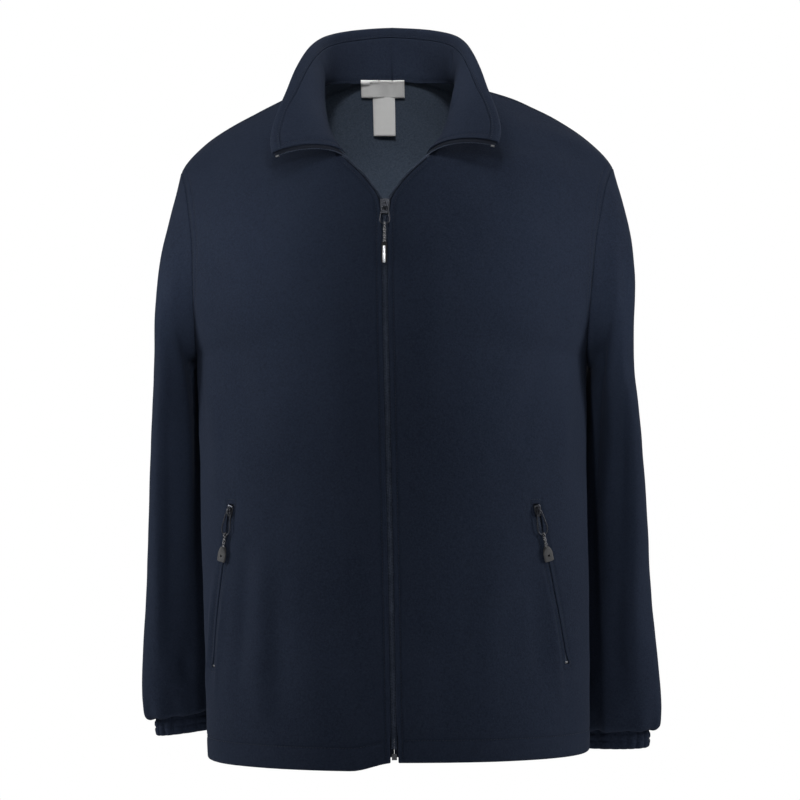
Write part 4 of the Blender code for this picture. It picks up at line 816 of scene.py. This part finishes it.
def neck_normals(at, side):
    """Directions halfway between body and collar along the neckline."""
    at = np.asarray(at, float)
    front = body_normals("front", np.minimum(ROW_COLLAR + at, ROW_SHOULDER), 0.0, side)
    back = body_normals("back", np.maximum(ROW_SHOULDER + 3 - at, ROW_COLLAR), 0.0, side)
    share = np.clip((at - 2.6) / 0.8, 0, 1)[:, None]
    normals = unit(unit(front * (1 - share) + back * share) + collar_normals(at, 0.02, side))
    normals[at >= 6, 0] = 0
    return unit(normals)


def side_normals(rows, shares, side):
    """Directions halfway between front and back, where the two meet."""
    return unit(body_normals("front", rows, shares, side) + body_normals("back", rows, shares, side))


def bend(normals, target, away):
    """Normals turned towards those of a seam, by how near it is."""
    share = (0.5 + 0.5 * np.cos(np.pi * np.clip(away / BLEND, 0, 1)))[..., None]
    return unit(normals * (1 - share) + target * share)


def body_half(face, rows, shares, hand):
    """Points and outward directions of half of the front or back."""
    side = SIDES[hand]
    points = body_point(face, rows[:, None], shares, side)
    normals = body_normals(face, rows[:, None], shares, side)
    # side seam and armhole
    hole = np.maximum(rows, ROW_UNDERARM)
    arm = arm_normals(ROW_SHOULDER - hole if face == "front" else hole + RING / 2 - ROW_UNDERARM, hand)
    share = ease(rows, ROW_UNDERARM - 0.25, ROW_UNDERARM)[:, None]
    seam = unit(side_normals(rows, 1.0, side) * (1 - share) + arm * share)
    normals = bend(normals, seam[:, None], (1 - shares) * row_speed(rows, 0.999, face)[:, None])
    # neckline
    at = rows - ROW_COLLAR if face == "front" else ROW_SHOULDER + 3 - rows
    away = norm(points - points[:, :1])
    away[rows < ROW_COLLAR] = 1
    normals = bend(normals, neck_normals(np.clip(at, CORNER_AT, 6), side)[:, None], away)
    # shoulder seam
    away = norm(points - points[-1:])
    away[rows < ROW_SHOULDER - 1.5] = 1
    normals = bend(normals, side_normals(float(ROW_SHOULDER), shares[-1], side)[None], away)
    if face == "front":
        points[rows == ROW_COLLAR, 0] = neckline(CORNER_AT, side)
    else:
        # The back's middle stays in the plane of symmetry, and bends to the collar just below the neckline.
        below = rows <= ROW_COLLAR
        normals[below, 0, 0] = 0
        level = (rows > ROW_COLLAR - 0.6) & below
        away = norm(points[level] - points[np.flatnonzero(rows == ROW_COLLAR)[0]][None])
        away = np.where(shares[level] * 0.2 < 0.012, away, 1)
        normals[level] = bend(normals[level], neck_normals([6.0], side)[0], away)
    return settled(points), unit(normals)


def hemmed(points, normals):
    """The grid with its turned-up hem: middle of the cloth, direction across it, direction of folds and
    the number of rows that the hem adds."""
    hem = int(np.flatnonzero(ROWS == np.round(ROW_HEM, 5))[0])
    down = unit(points[0] - points[1])
    inside = [(points[hem] + (points[hem - 1] - points[hem]) * share, normals[hem])
              for share in (0, 0.05, 0.15, 0.35)]
    inside += [(points[row], normals[row]) for row in range(hem - 1, -1, -1)]
    layers = [(p - n * MIDDLE, -n, n) for p, n in inside]
    for turn in range(20, 180, 20):
        angle = math.radians(turn)
        direction = unit(-normals[0] * math.cos(angle) + down * math.sin(angle))
        layers.append((points[0] + direction * MIDDLE, direction, normals[0]))
    outside = (points + normals * MIDDLE, normals, normals)
    return (*(np.concatenate([np.array(a), b]) for a, b in zip(zip(*layers), outside)), len(layers))


def front_columns(hand):
    """Shares of the front's columns, row by row, and the column at which the pocket slit lies."""
    middle = pocket_share(ROWS, hand)
    start, speed, end = (row_speed(ROWS, share) for share in (0.0, middle, 0.999))
    # The lips of the slit lie nearly together below the slider and above the stop.
    open_here = np.maximum(ease(ROWS, ROW_POCKET_TOP - 0.34, ROW_POCKET_TOP - 0.16),
                           1 - ease(ROWS, ROW_POCKET_END + 0.03, ROW_POCKET_END + 0.1))
    half = (LIP_HALF_WIDTH + (SLIT_HALF_WIDTH - LIP_HALF_WIDTH) * open_here) / speed
    # The edges lie close to the coil except beside the slider and the box.
    beside = np.maximum(ease(ROWS, ROW_ZIP_OPEN - 0.75, ROW_ZIP_OPEN - 0.45), 1 - ease(ROWS, 0.18, 0.34))
    edge = (ZIP_LIP + (ZIP_SETBACK - ZIP_LIP) * beside) / start
    edge[ROWS > ROW_COLLAR] = 0
    chest = stretch(edge, middle - half, start, speed, 34)
    flank = stretch(middle + half, np.ones(len(ROWS)), speed, end, 18)
    return np.concatenate([chest, flank], axis=1), chest.shape[1] - 1


def along_rows(face, rows, shares, hand):
    """A line in the middle of the body's cloth, with its outward directions."""
    side = SIDES[hand]
    normals = body_normals(face, rows, shares, side)
    return settled(body_point(face, rows, shares, side)) + normals * MIDDLE, normals


def front_lines(hand):
    """The stitched lines of a front: zip edge, pocket, hem, armhole twice and shoulder."""
    def line(rows, shares):
        return along_rows("front", rows, shares, hand)

    edge = np.linspace(0.02, ROW_COLLAR - 0.25, 160)
    slit = np.linspace(ROW_POCKET_END, ROW_POCKET_TOP, 60)
    hole = np.linspace(ROW_UNDERARM + 0.02, ROW_SHOULDER - 0.02, 90)
    middle = pocket_share(slit, hand)
    away, over, turn = 0.0056 / row_speed(slit, middle), 0.0045 / ROW_HEIGHT, np.linspace(-1, 1, 8)
    pocket = [line(slit, middle - away), line(slit[-1] + over, middle[-1] + away[-1] * turn),
              line(slit[::-1], (middle + away)[::-1]), line(slit[0] - over, middle[0] - away[0] * turn)]
    pocket.append([part[:1] for part in pocket[0]])
    return [line(edge, (ZIP_SETBACK + 0.0043) / row_speed(edge, 0.0)),
            tuple(np.concatenate(parts) for parts in zip(*pocket)),
            line(ROW_HEM - 0.002, np.linspace(0.03, 0.995, 120)),
            *(line(hole, 1 - inset / row_speed(hole, 0.995)) for inset in (0.002, 0.008)),
            line(ROW_SHOULDER - 0.055, np.linspace(0.02, 0.98, 60))]


def build_fronts():
    for hand in SIDES:
        shares, slit_column = front_columns(hand)
        *grids, extra = hemmed(*body_half("front", ROWS, shares, hand))
        slit = {(r + extra, slit_column) for r in range(len(ROWS) - 1)
                if ROW_POCKET_END - 1e-4 <= ROWS[r] and ROWS[r + 1] <= ROW_POCKET_TOP + 1e-4}
        lines = front_lines(hand)
        name = f"front_{hand}"
        obj = wall("cloth_" + name, name, "fleece", *grids, FLEECE_IN_PAINTED_LIGHT, FLEECE_OUT, skip=slit,
                   pinches=[(line, PINCH) for line, _ in lines])
        sewn = stitched("stitches_" + name, lines, "cloth_" + name)


def build_back():
    halves, lines = [], []
    for hand in SIDES:
        speeds = [row_speed(ROWS, share, "back") for share in (0.0, 0.999)]
        shares = stretch(np.zeros(len(ROWS)), np.ones(len(ROWS)), *speeds, 62)
        halves.append(hemmed(*body_half("back", ROWS, shares, hand))[:3])
        lines.append(along_rows("back", ROW_HEM - 0.002, np.linspace(0.0, 0.995, 150), hand))
    # Below the neckline the halves meet in the middle; above it each runs up to its shoulder alone.
    grids = [np.concatenate([right[:, ::-1], left], axis=1) for left, right in zip(*halves)]
    rows, columns = grids[0].shape[:2]
    neck = rows - int((ROWS > ROW_COLLAR).sum())
    obj = wall("cloth_back", "back", "fleece", *grids, FLEECE_IN_PAINTED_LIGHT, FLEECE_OUT, merge=SAME_PLACE,
               skip={(r, columns // 2 - 1) for r in range(neck - 1, rows - 1)},
               pinches=[(line, PINCH) for line, _ in lines])
    sewn = stitched("stitches_back", lines, "cloth_back")


# ---- Sleeves and cuffs -----------------------
def ring_normals(grid, outside):
    round_it = np.roll(grid, -1, axis=1) - np.roll(grid, 1, axis=1)
    return unit(np.cross(round_it, np.gradient(grid, axis=0))) * outside


SLEEVE_COLUMNS, CUFF_COLUMNS = 144, 264


def build_sleeves():
    steps = np.arange(SLEEVE_COLUMNS) * RING / SLEEVE_COLUMNS
    cap = np.concatenate([[0, 0.0006, 0.0016, 0.0032, 0.0056, 0.01, 0.02], np.linspace(0.04, 1, 30)])
    lower = np.arange(1.12, 7.55, 0.12)
    last = np.array(SLEEVE_ROWS[-1])
    inner = np.array(cuff_oval(last[0]))
    for hand, side in SIDES.items():
        body = sleeve_point(np.concatenate([cap, lower]), steps, hand)
        # The end is a smooth curve through the last ovals, the blouse over the cuff and the mouth inside it.
        ovals = [last + (inner - last) * share for share, _ in BLOUSE]
        for row, (_, drop) in zip(ovals, BLOUSE):
            row[0] = last[0] - drop - SLEEVE_DROP[hand]
        ovals.append(cuff_oval(last[0] - CUFF_MOUTH[1] - SLEEVE_DROP[hand], CUFF_MOUTH[0] - 0.0012))
        control = [*sleeve_point([7.3, 7.6], steps, hand),
                   *(oval_ring(oval, steps) * (side, 1, 1) for oval in ovals)]
        control = np.array(control).reshape(len(control), -1)
        end = through(control, np.linspace(1, len(control) - 1, 26)).reshape(26, len(steps), 3)
        points = slanted(np.concatenate([body[:-1], end]), hand)
        away = norm(points - points[:1])
        away[len(cap) // 2:] = 1
        normals = bend(ring_normals(points, side), arm_normals(steps, hand)[None], away)
        points = settled(points, drops=False)
        # Small gathers run up from the cuff.
        rise = norm(np.diff(points, axis=0)).mean(1)
        up = np.concatenate([[0], np.cumsum(rise)])
        up = (up[-1] - up)[:, None]
        turn = 2 * np.pi * steps[None] / RING
        gather = (np.cos(11 * turn + 0.9 * np.sin(2 * turn + side))
                  + 0.6 * np.cos(17 * turn + 1.7 * np.sin(3 * turn)))
        size = 0.0013 * np.exp(-((up - 0.012) / 0.018)**2) * (0.7 + 0.3 * np.sin(turn * 3 + 1))
        points = points + normals * (gather * size)[..., None]
        name = f"sleeve_{hand}"
        obj = wall("cloth_" + name, name, "fleece", points + normals * MIDDLE, normals, normals,
                   FLEECE_IN_PAINTED_LIGHT, FLEECE_OUT, ring=True)


def build_cuffs():
    """Elastic cuffs: gathered ribs, pinched by two rows of elastic thread."""
    steps = np.arange(CUFF_COLUMNS) * RING / CUFF_COLUMNS
    turn = 2 * np.pi * steps[None] / RING
    share = np.linspace(0, 1, 22)[:, None]
    levels = np.linspace(*CUFF_LEVELS, 22)
    belly = -0.001 + 0.0018 * np.sin(np.pi * share[:, 0])**0.8
    rows = sum(np.exp(-((share - at) / 0.045)**2) for at in (0.3, 0.62))
    for hand, side in SIDES.items():
        grid = np.array([oval_ring(cuff_oval(z, grow), steps) for z, grow in zip(levels, belly)])
        normals = ring_normals(grid, 1)
        normals[..., 2] = 0
        normals = unit(normals)
        phase = CUFF_PLEATS * turn + 1.3 * np.sin(3 * turn + 2 * side) + 0.5 * np.sin(7 * turn + 3 * share)
        rib = np.abs(np.cos(phase / 2))**0.7 * 2 - 1
        grid = grid + normals * (0.0013 * rib * (1 - 0.55 * rows) - 0.0006 * rows)[..., None]
        grid[..., 2] -= SLEEVE_DROP[hand]
        grid[..., 0] *= side
        normals[..., 0] *= side
        grid = settled(slanted(grid, hand), drops=False) + normals * FLEECE / 2
        name = f"cuff_{hand}"
        obj = wall("cloth_" + name, name, "fleece_cuff", grid, normals, normals, FLEECE_IN_PAINTED_LIGHT, FLEECE_OUT,
                   ring=True, quiet=True)


# ---- Collar ----------------------------------
FOLD_OVER = 0.0085  # how far the outer collar turns over the free edge to the inside
EDGE_STITCHES = 0.0062  # stitches from the collar's edges
COLLAR_SHARES = np.concatenate([[0, 0.002, 0.006, 0.012, 0.022, 0.04], np.linspace(0.07, 0.97, 26), [1.0]])


def collar_speed(shares, side):
    """Metres per station along the collar's front edge."""
    return norm(collar_point(0.02, shares, side) - collar_point(0.0, shares, side)) / 0.02


def collar_half(side):
    speed = collar_speed(COLLAR_SHARES, side)
    start = CORNER_AT + (ZIP_SETBACK / speed - CORNER_AT) * ease(COLLAR_SHARES, 0, 0.08)
    first = start[None] + NEAR_EDGE[:, None] / speed[None]
    run = np.linspace(0, 1, 84)[1:, None]
    at = np.concatenate([first, first[-1:] + (6 - first[-1:]) * run])
    points, normals = collar_point(at, COLLAR_SHARES, side), collar_normals(at, COLLAR_SHARES, side)
    away = norm(points - points[:, :1])
    normals = bend(normals, neck_normals(at[:, 0], side)[:, None], away)
    normals[-1, :, 0] = 0
    return settled(points, leans=False, drops=False), unit(normals)


def build_collar():
    points, normals = (np.concatenate([a, b[-2::-1]]) for a, b in zip(collar_half(1.0), collar_half(-1.0)))
    soft = 0.001 * np.sin(np.arange(len(points)) * 0.17)[:, None] * np.sin(np.pi * COLLAR_SHARES)[None]
    points = points + normals * soft[..., None]
    edge, out, up = points[:, -1], normals[:, -1], unit(points[:, -1] - points[:, -2])
    # The outer collar: up to the free edge, round it and down the inside.
    layers = [(p + n * MIDDLE, n, n) for p, n in zip(points.swapaxes(0, 1), normals.swapaxes(0, 1))]
    for turn in range(18, 180, 18):
        angle = math.radians(turn)
        direction = unit(out * math.cos(angle) + up * math.sin(angle))
        layers.append((edge + direction * MIDDLE, direction, out))
    for drop in (0, 0.002, 0.004, 0.006, 0.007, 0.0078, 0.0082, FOLD_OVER):
        layers.append((edge - out * MIDDLE - up * drop, -out, out))
    middle, across, outward = (np.stack(part, 1) for part in zip(*layers))
    outside = edge - up * EDGE_STITCHES + out * MIDDLE
    inside = edge - up * EDGE_STITCHES - out * MIDDLE
    ends = [(points[end] + unit(points[towards] - points[end]) * EDGE_STITCHES, normals[end])
            for end, towards in ((0, 6), (-1, -7))]
    front, behind = ([(line + n * s * MIDDLE, n * s) for line, n in ends] for s in (1, -1))
    outer = wall("cloth_collar_outer", "collar_outer", "fleece_collar", middle, across, outward,
                 FLEECE_COLLAR, FLEECE_COLLAR,
                 pinches=[(line, PINCH) for line in (outside, inside, front[0][0], front[1][0])])
    # The inner collar: up to the turned-over edge of the outer one, with columns close together there.
    high = edge - up * (FOLD_OVER + 0.0004)
    columns = np.flatnonzero(COLLAR_SHARES < 0.82)
    shares = np.array([0.5, 0.2, 0.09, 0.035, 0.012, 0.0])[None, :, None]
    near = high[:, None] + (points[:, columns[-1:]] - high[:, None]) * shares
    inner = np.concatenate([points[:, columns], near], axis=1)
    inner_out = np.concatenate([normals[:, columns], np.repeat(normals[:, -1:], 6, axis=1)], axis=1)
    neck = points[:, 0] + unit(points[:, 6] - points[:, 0]) * 0.0025 - normals[:, 0] * MIDDLE
    piece = wall("cloth_collar_inner", "collar_inner", "fleece_collar", inner - inner_out * MIDDLE, inner_out,
                 inner_out, FLEECE_COLLAR, FLEECE_COLLAR,
                 pinches=[(neck, 0.6), *((line, PINCH) for line, _ in behind)])
    sewn, folded, within = (
        stitched("stitches_collar" + name, lines, host, "fleece_collar", reach=0.004)
        for name, lines, host in (("", [(outside, out), *front], "cloth_collar_outer"),
                                  ("_fold", [(inside, -out)], "cloth_collar_outer"),
                                  ("_inside", [(neck, -normals[:, 0]), *behind], "cloth_collar_inner")))


# ---- Zips ------------------------------------
def beads(name, places, size):
    """Coil teeth: small rounded bars. A place is a centre, the direction of its length and that out."""
    vertices, faces = [], []
    for centre, ahead, out in places:
        ahead, out = unit(ahead), unit(out)
        centres = [centre + ahead * size[0] * at for at in (-1.0, -0.8, 0.0, 0.8, 1.0)]
        across = np.cross(ahead, out)
        add_bar(vertices, faces, centres, (0.45, 0.9, 1.0, 0.9, 0.45), across * size[1], out * size[2])
    return finish_piece(new_object(name, vertices, faces, COIL), "zip_tape")


COIL_PITCH, POCKET_COIL_PITCH = 0.0015, 0.00068  # along one side's teeth, and along both sides'
TOOTH, POCKET_TOOTH = (0.0017, 0.00052, 0.00062), (0.0013, 0.00045, 0.00055)  # half-sizes
TAPE_WALL = {"thickness": 0.0006, "quiet": True, "radius": 0.0003}
TAPE_ACROSS = np.array([0.00015, 0.0008, 0.0018, 0.003, 0.0042, 0.0056, 0.0072, TAPE_COVERED])


def tape_grid(side):
    """The zip tape of one side, from the hem up the front edge and along the collar's front edge. It grows
    narrow towards the corner between the two."""
    corner = neckline(0.0, side)[0]

    def widths(line, speed):
        reach = norm(line - corner)[:, None]
        return np.minimum(TAPE_ACROSS[None], 0.0012 + 0.75 * reach) / speed[:, None]

    rows = np.concatenate([np.linspace(0.03, ROW_V_START, 110), np.linspace(ROW_V_START, ROW_COLLAR, 40)[1:]])
    at = widths(body_point("front", rows, 0.0, side), row_speed(rows, 0.0))
    low = settled(body_point("front", rows[:, None], at, side))
    normals = body_normals("front", rows[:, None], at, side)
    low = low + normals * folds(low)[..., None]
    shares = np.linspace(0, 1, 46)[1:]
    at = widths(collar_point(0.0, shares, side), collar_speed(shares, side))
    high = settled(collar_point(at, shares[:, None], side), leans=False, drops=False)
    return np.concatenate([low, high]), np.concatenate([normals, collar_normals(at, shares[:, None], side)])


def build_main_zip():
    for hand, side in SIDES.items():
        points, normals = tape_grid(side)
        obj = wall(f"tape_{hand}", f"zip_tape_{hand}", "zip_tape", points, normals, normals,
                   TAPE, TAPE, **TAPE_WALL)
        edge, out, inside = points[:, 0], unit(normals[:, 0]), points[:, 2]
        run = lengths(edge)
        places = []
        for at in np.arange(0.0085, run[-1] - 0.001, COIL_PITCH):
            at += 0.0 if side > 0 else COIL_PITCH / 2  # the two sides' teeth lie between one another
            p, n, q = (along(line, run, at) for line in (edge, out, inside))
            inward, ahead = unit(q - p), unit(along(edge, run, at + 0.001) - p)
            places.append((p + inward * 0.0011 + n * 0.00095, inward + ahead * 0.12 * side, n))
        coil = beads(f"coil_{hand}", places, TOOTH)
        sewn = stitched(f"stitches_coil_{hand}", [(points[:, 3], normals[:, 3])], f"tape_{hand}",
                        "zip_tape", pitch=0.0022, length=0.0015, radius=0.00016, reach=0.002, sides=4)


def build_pocket_zips():
    drop = 0.008 / ROW_HEIGHT
    rows = np.linspace(ROW_POCKET_END - drop, ROW_POCKET_TOP + drop, 60)
    for hand, side in SIDES.items():
        middle = pocket_share(np.clip(rows, ROW_POCKET_END, ROW_POCKET_TOP), hand)
        offsets = np.linspace(-0.009, 0.009, 11)
        shares = middle[:, None] + offsets[None] / row_speed(rows, middle)[:, None]
        points = settled(body_point("front", rows[:, None], shares, side))
        normals = body_normals("front", rows[:, None], shares, side)
        points = points + normals * folds(points)[..., None]
        obj = wall(f"pocket_tape_{hand}", f"pocket_zip_{hand}", "zip_tape", points, normals, normals,
                   TAPE, TAPE, **TAPE_WALL)
        centre, out = points[:, 5], unit(normals[:, 5])
        run = lengths(centre)
        places = []
        for number, at in enumerate(np.arange(0.0095, run[-1] - 0.018, POCKET_COIL_PITCH)):
            p, n = along(centre, run, at), along(out, run, at)
            up = unit(along(centre, run, at + 0.001) - p)
            across = np.cross(up, n) * (1 if number % 2 else -1)
            places.append((p + across * 0.00075 + n * 0.00085, across + up * 0.15, n))
        coil = beads(f"pocket_coil_{hand}", places, POCKET_TOOTH)


# ---- Hardware --------------------------------
def refined(node, material, slot, body="jacket", bevel=0.0, levels=0):
    """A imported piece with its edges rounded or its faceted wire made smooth."""
    mesh = NODES[node].data.copy()
    bm = bmesh.new()
    bm.from_mesh(mesh)
    bmesh.ops.remove_doubles(bm, verts=bm.verts, dist=SAME_PLACE)
    bmesh.ops.dissolve_limit(bm, angle_limit=math.radians(1), verts=bm.verts, edges=bm.edges)
    bm.to_mesh(mesh)
    bm.free()
    mesh.materials.clear()
    mesh.materials.append(material)
    obj = linked("fine_" + node, mesh)
    if bevel:
        step = obj.modifiers.new("edges", "BEVEL")
        step.width, step.segments, step.limit_method, step.angle_limit = bevel, 3, "ANGLE", math.radians(28)
        step.use_clamp_overlap = True
    if levels:
        step = obj.modifiers.new("smooth", "SUBSURF")
        step.levels = step.render_levels = levels
    mesh.shade_smooth()
    if bevel:
        mesh.set_sharp_from_angle(angle=math.radians(40))
    return finish_piece(obj, slot, body, node)


def build_hardware():
    refined("zip_slider", SLIDER_METAL, "dark_metal", bevel=0.00035)
    refined("zip_pull_loop", METAL, "dark_metal", "zip_pull", levels=2)
    refined("zip_pull_cord", CORD_DARK, "pull_cord", "zip_pull", levels=2)
    refined("zip_pull_tip", TIP_DARK, "moulded_grey", "zip_pull", bevel=0.0004)
    refined("zip_box", BOX_GREY, "box_grey", bevel=0.0004)
    for side in SIDES:
        refined(f"zip_stop_{side}", STOP, "bright_metal", bevel=0.00022)
        refined(f"pocket_stop_{side}", STOP, "bright_metal", bevel=0.0002)
        refined(f"pocket_slider_{side}", METAL, "dark_metal", bevel=0.0003)
        refined(f"pocket_pull_loop_{side}", METAL, "dark_metal", f"pocket_pull_{side}", levels=2)
        refined(f"pocket_pull_cord_{side}", CORD_DARK, "pull_cord", f"pocket_pull_{side}", levels=2)
        refined(f"pocket_pull_tab_{side}", MOULD, "moulded_grey", f"pocket_pull_{side}", bevel=0.0003)
    # The bright bar let into the main pull's moulded end lies along its front face.
    bm = bmesh.new()
    bmesh.ops.create_cube(bm, size=1.0)
    bmesh.ops.scale(bm, vec=(0.0027, 0.0012, 0.0175), verts=bm.verts)
    mesh = bpy.data.meshes.new("pull_bar")
    bm.to_mesh(mesh)
    bm.free()
    mesh.materials.append(BRIGHT)
    mesh.shade_smooth()
    bar = linked("pull_bar", mesh)
    step = bar.modifiers.new("edges", "BEVEL")
    step.width, step.segments = 0.0004, 3
    centre = np.mean([list(corner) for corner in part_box("zip_pull_tip")], axis=0)
    hit, above = (cad_hit("zip_pull_tip", (centre[0], -1, centre[2] + rise), (0, 1, 0))
                  for rise in (-0.002, 0.006))
    bar.rotation_euler = (-math.atan2(above.y - hit.y, above.z - hit.z), 0, 0)
    bar.location = hit + Vector((0, 0.00015, 0))
    finish_piece(bar, "bright_metal", "zip_pull")


# ---- Labels ----------------------------------
# Each label's size, how far it is raised, its height (none: as packed), gap to the cloth, curl, and grid.
LABELS = {"label_care": ((0.025, 0.0588), 0.0, None, 0.0008, 0.0012, 14, 30),
          "label_main": ((0.048, 0.0195), 0.0052, 0.018, 0.0016, 0.0004, 24, 12)}


def build_labels():
    """Blank woven labels, sewn along the neck seam, with a little curl."""
    trees = [SEWN["cloth_back"], SEWN["cloth_collar_inner"]]
    for node, (size, rise, height, clear, curl, columns, rows) in LABELS.items():
        low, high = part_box(node)
        top = high[2] - 0.0012 + rise
        bottom = top - height if height else low[2] + 0.0012
        grid = []
        for z in np.linspace(top, bottom, rows):
            for x in np.linspace(low[0] + 0.0006, high[0] - 0.0006, columns):
                hits = [tree.ray_cast(Vector((x, -0.02, z)), Vector((0, 1, 0)))[0] for tree in trees]
                grid.append((x, min([hit.y for hit in hits if hit] + [high[1]]) - clear, z))
        grid = np.array(grid).reshape(rows, columns, 3)
        share = np.linspace(0, 1, rows)[:, None]
        # A stiff label bridges small hollows: each column is straightened towards its own chord.
        straight = grid[:1, :, 1] * (1 - share) + grid[-1:, :, 1] * share
        grid[..., 1] = np.minimum(grid[..., 1], straight + 0.0002)
        grid[..., 1] -= curl * share**2 + 0.0003 * np.sin(np.linspace(0, 7, columns))[None] * share
        normals = np.zeros_like(grid)
        normals[..., 1] = -1
        obj = wall("blank_" + node, node, "label_white", grid, normals, normals, LABEL, LABEL,
                   thickness=0.0004, quiet=True, radius=0.0002)
        lines = [(grid[1] - [0, 0.0001, 0], normals[0])]
        if node == "label_main":
            lines += [(grid[:, 1], normals[:, 1]), (grid[:, -2], normals[:, -2]), (grid[-2], normals[-2])]
        sewn = stitched("stitches_" + node, lines, "blank_" + node, "label_white", pitch=0.0024,
                        length=0.0017, radius=0.00014, material=LABEL_THREAD, reach=0.003, sides=4)


# ---- Stage, light and camera -----------------
CAMERA_PLACE, CAMERA_AHEAD = (0.1243, -3.1976, -0.332), (-0.0349, 0.9994, 0)
FOCAL_LENGTH, SENSOR_WIDTH = 135.85, 36
FLOOR_Z, FLOOR_REACH = -1.45, 4.0  # as far down as a standing wearer's floor would be
WORLD_LIGHT = 0.22
SPOT_BLEND, SPOT_RADIUS = 0.9, 0.15
# Broad lights: name, place, size, power and target.
BODY = (0, 0, -0.33)
LIGHTS = [("key", (-1.0, -2.0, 2.1), (0.8, 0.7), 10.0, BODY),
          ("fill", (1.5, -1.9, 1.6), (0.8, 0.8), 6.2, BODY),
          ("left_side", (2.1, -0.2, 0.25), (0.5, 1.0), 30.0, (0.25, 0, -0.25)),
          ("right_side", (-2.1, -0.2, 0.25), (0.5, 1.0), 34.0, (-0.25, 0, -0.25)),
          ("back", (0.5, 2.2, 1.7), (1.6, 1.2), 25.0, BODY)]
# Narrow soft lights: name, place, width of the cone in degrees, power and target.
SPOTS = [("neck", (0, -1.5, 1.0), 12, 132.0, (0, 0.04, -0.01)),
         ("chest", (0, -2.8, 0.6), 11, 28.0, (0, -0.1, -0.42)),
         ("left_sleeve", (-0.3, -2.7, 0.5), 8, 340.0, (0.295, 0, -0.24)),
         ("right_sleeve", (0.3, -2.7, 0.5), 8, 370.0, (-0.275, 0, -0.24)),
         ("left_cuff", (-0.3, -2.7, 0.1), 8, 110.0, (0.295, 0, -0.58)),
         ("right_cuff", (0.3, -2.7, 0.1), 8, 90.0, (-0.275, 0, -0.56))]


def light(kind, name, place, size, power, target):
    data = bpy.data.lights.new(name, kind)
    data.energy = power
    if kind == "AREA":
        data.shape, data.size, data.size_y = "RECTANGLE", *size
    else:
        data.spot_size, data.spot_blend, data.shadow_soft_size = math.radians(size), SPOT_BLEND, SPOT_RADIUS
    obj = linked(name, data)
    obj.location = place
    obj.rotation_euler = (Vector(target) - Vector(place)).to_track_quat("-Z", "Y").to_euler()


def build_stage():
    scene = bpy.context.scene
    scene.view_settings.view_transform = "Standard"
    camera = bpy.data.cameras.new("camera")
    camera.lens, camera.sensor_width = FOCAL_LENGTH, SENSOR_WIDTH
    scene.camera = linked("camera", camera)
    scene.camera.location = CAMERA_PLACE
    scene.camera.rotation_euler = Vector(CAMERA_AHEAD).to_track_quat("-Z", "Y").to_euler()
    pale = Nodes("floor", 0.9)
    pale.set(pale.shader, Base_Color=(0.86, 0.86, 0.86, 1))
    corners = [(x * FLOOR_REACH, y * FLOOR_REACH, FLOOR_Z) for x, y in ((-1, -1), (1, -1), (1, 1), (-1, 1))]
    new_object("floor", corners, [(0, 1, 2, 3)], pale.material, smooth=False)
    # The camera sees a white room, which lights the jacket less than its brightness would.
    world = bpy.data.worlds.new("studio")
    world.use_nodes = True
    scene.world = world
    tree = world.node_tree
    seen, lit = tree.nodes["Background"], tree.nodes.new("ShaderNodeBackground")
    for node, strength in ((seen, 1.0), (lit, WORLD_LIGHT)):
        node.inputs["Color"].default_value, node.inputs["Strength"].default_value = (1, 1, 1, 1), strength
    path, mix = tree.nodes.new("ShaderNodeLightPath"), tree.nodes.new("ShaderNodeMixShader")
    tree.links.new(path.outputs["Is Camera Ray"], mix.inputs[0])
    tree.links.new(lit.outputs[0], mix.inputs[1])
    tree.links.new(seen.outputs[0], mix.inputs[2])
    tree.links.new(mix.outputs[0], tree.nodes["World Output"].inputs["Surface"])
    for kind, lights in (("AREA", LIGHTS), ("SPOT", SPOTS)):
        for one in lights:
            light(kind, *one)


build_fronts()
build_back()
build_sleeves()
build_cuffs()
build_collar()
build_main_zip()
build_pocket_zips()
build_hardware()
build_labels()
build_stage()

bpy.context.view_layer.update()
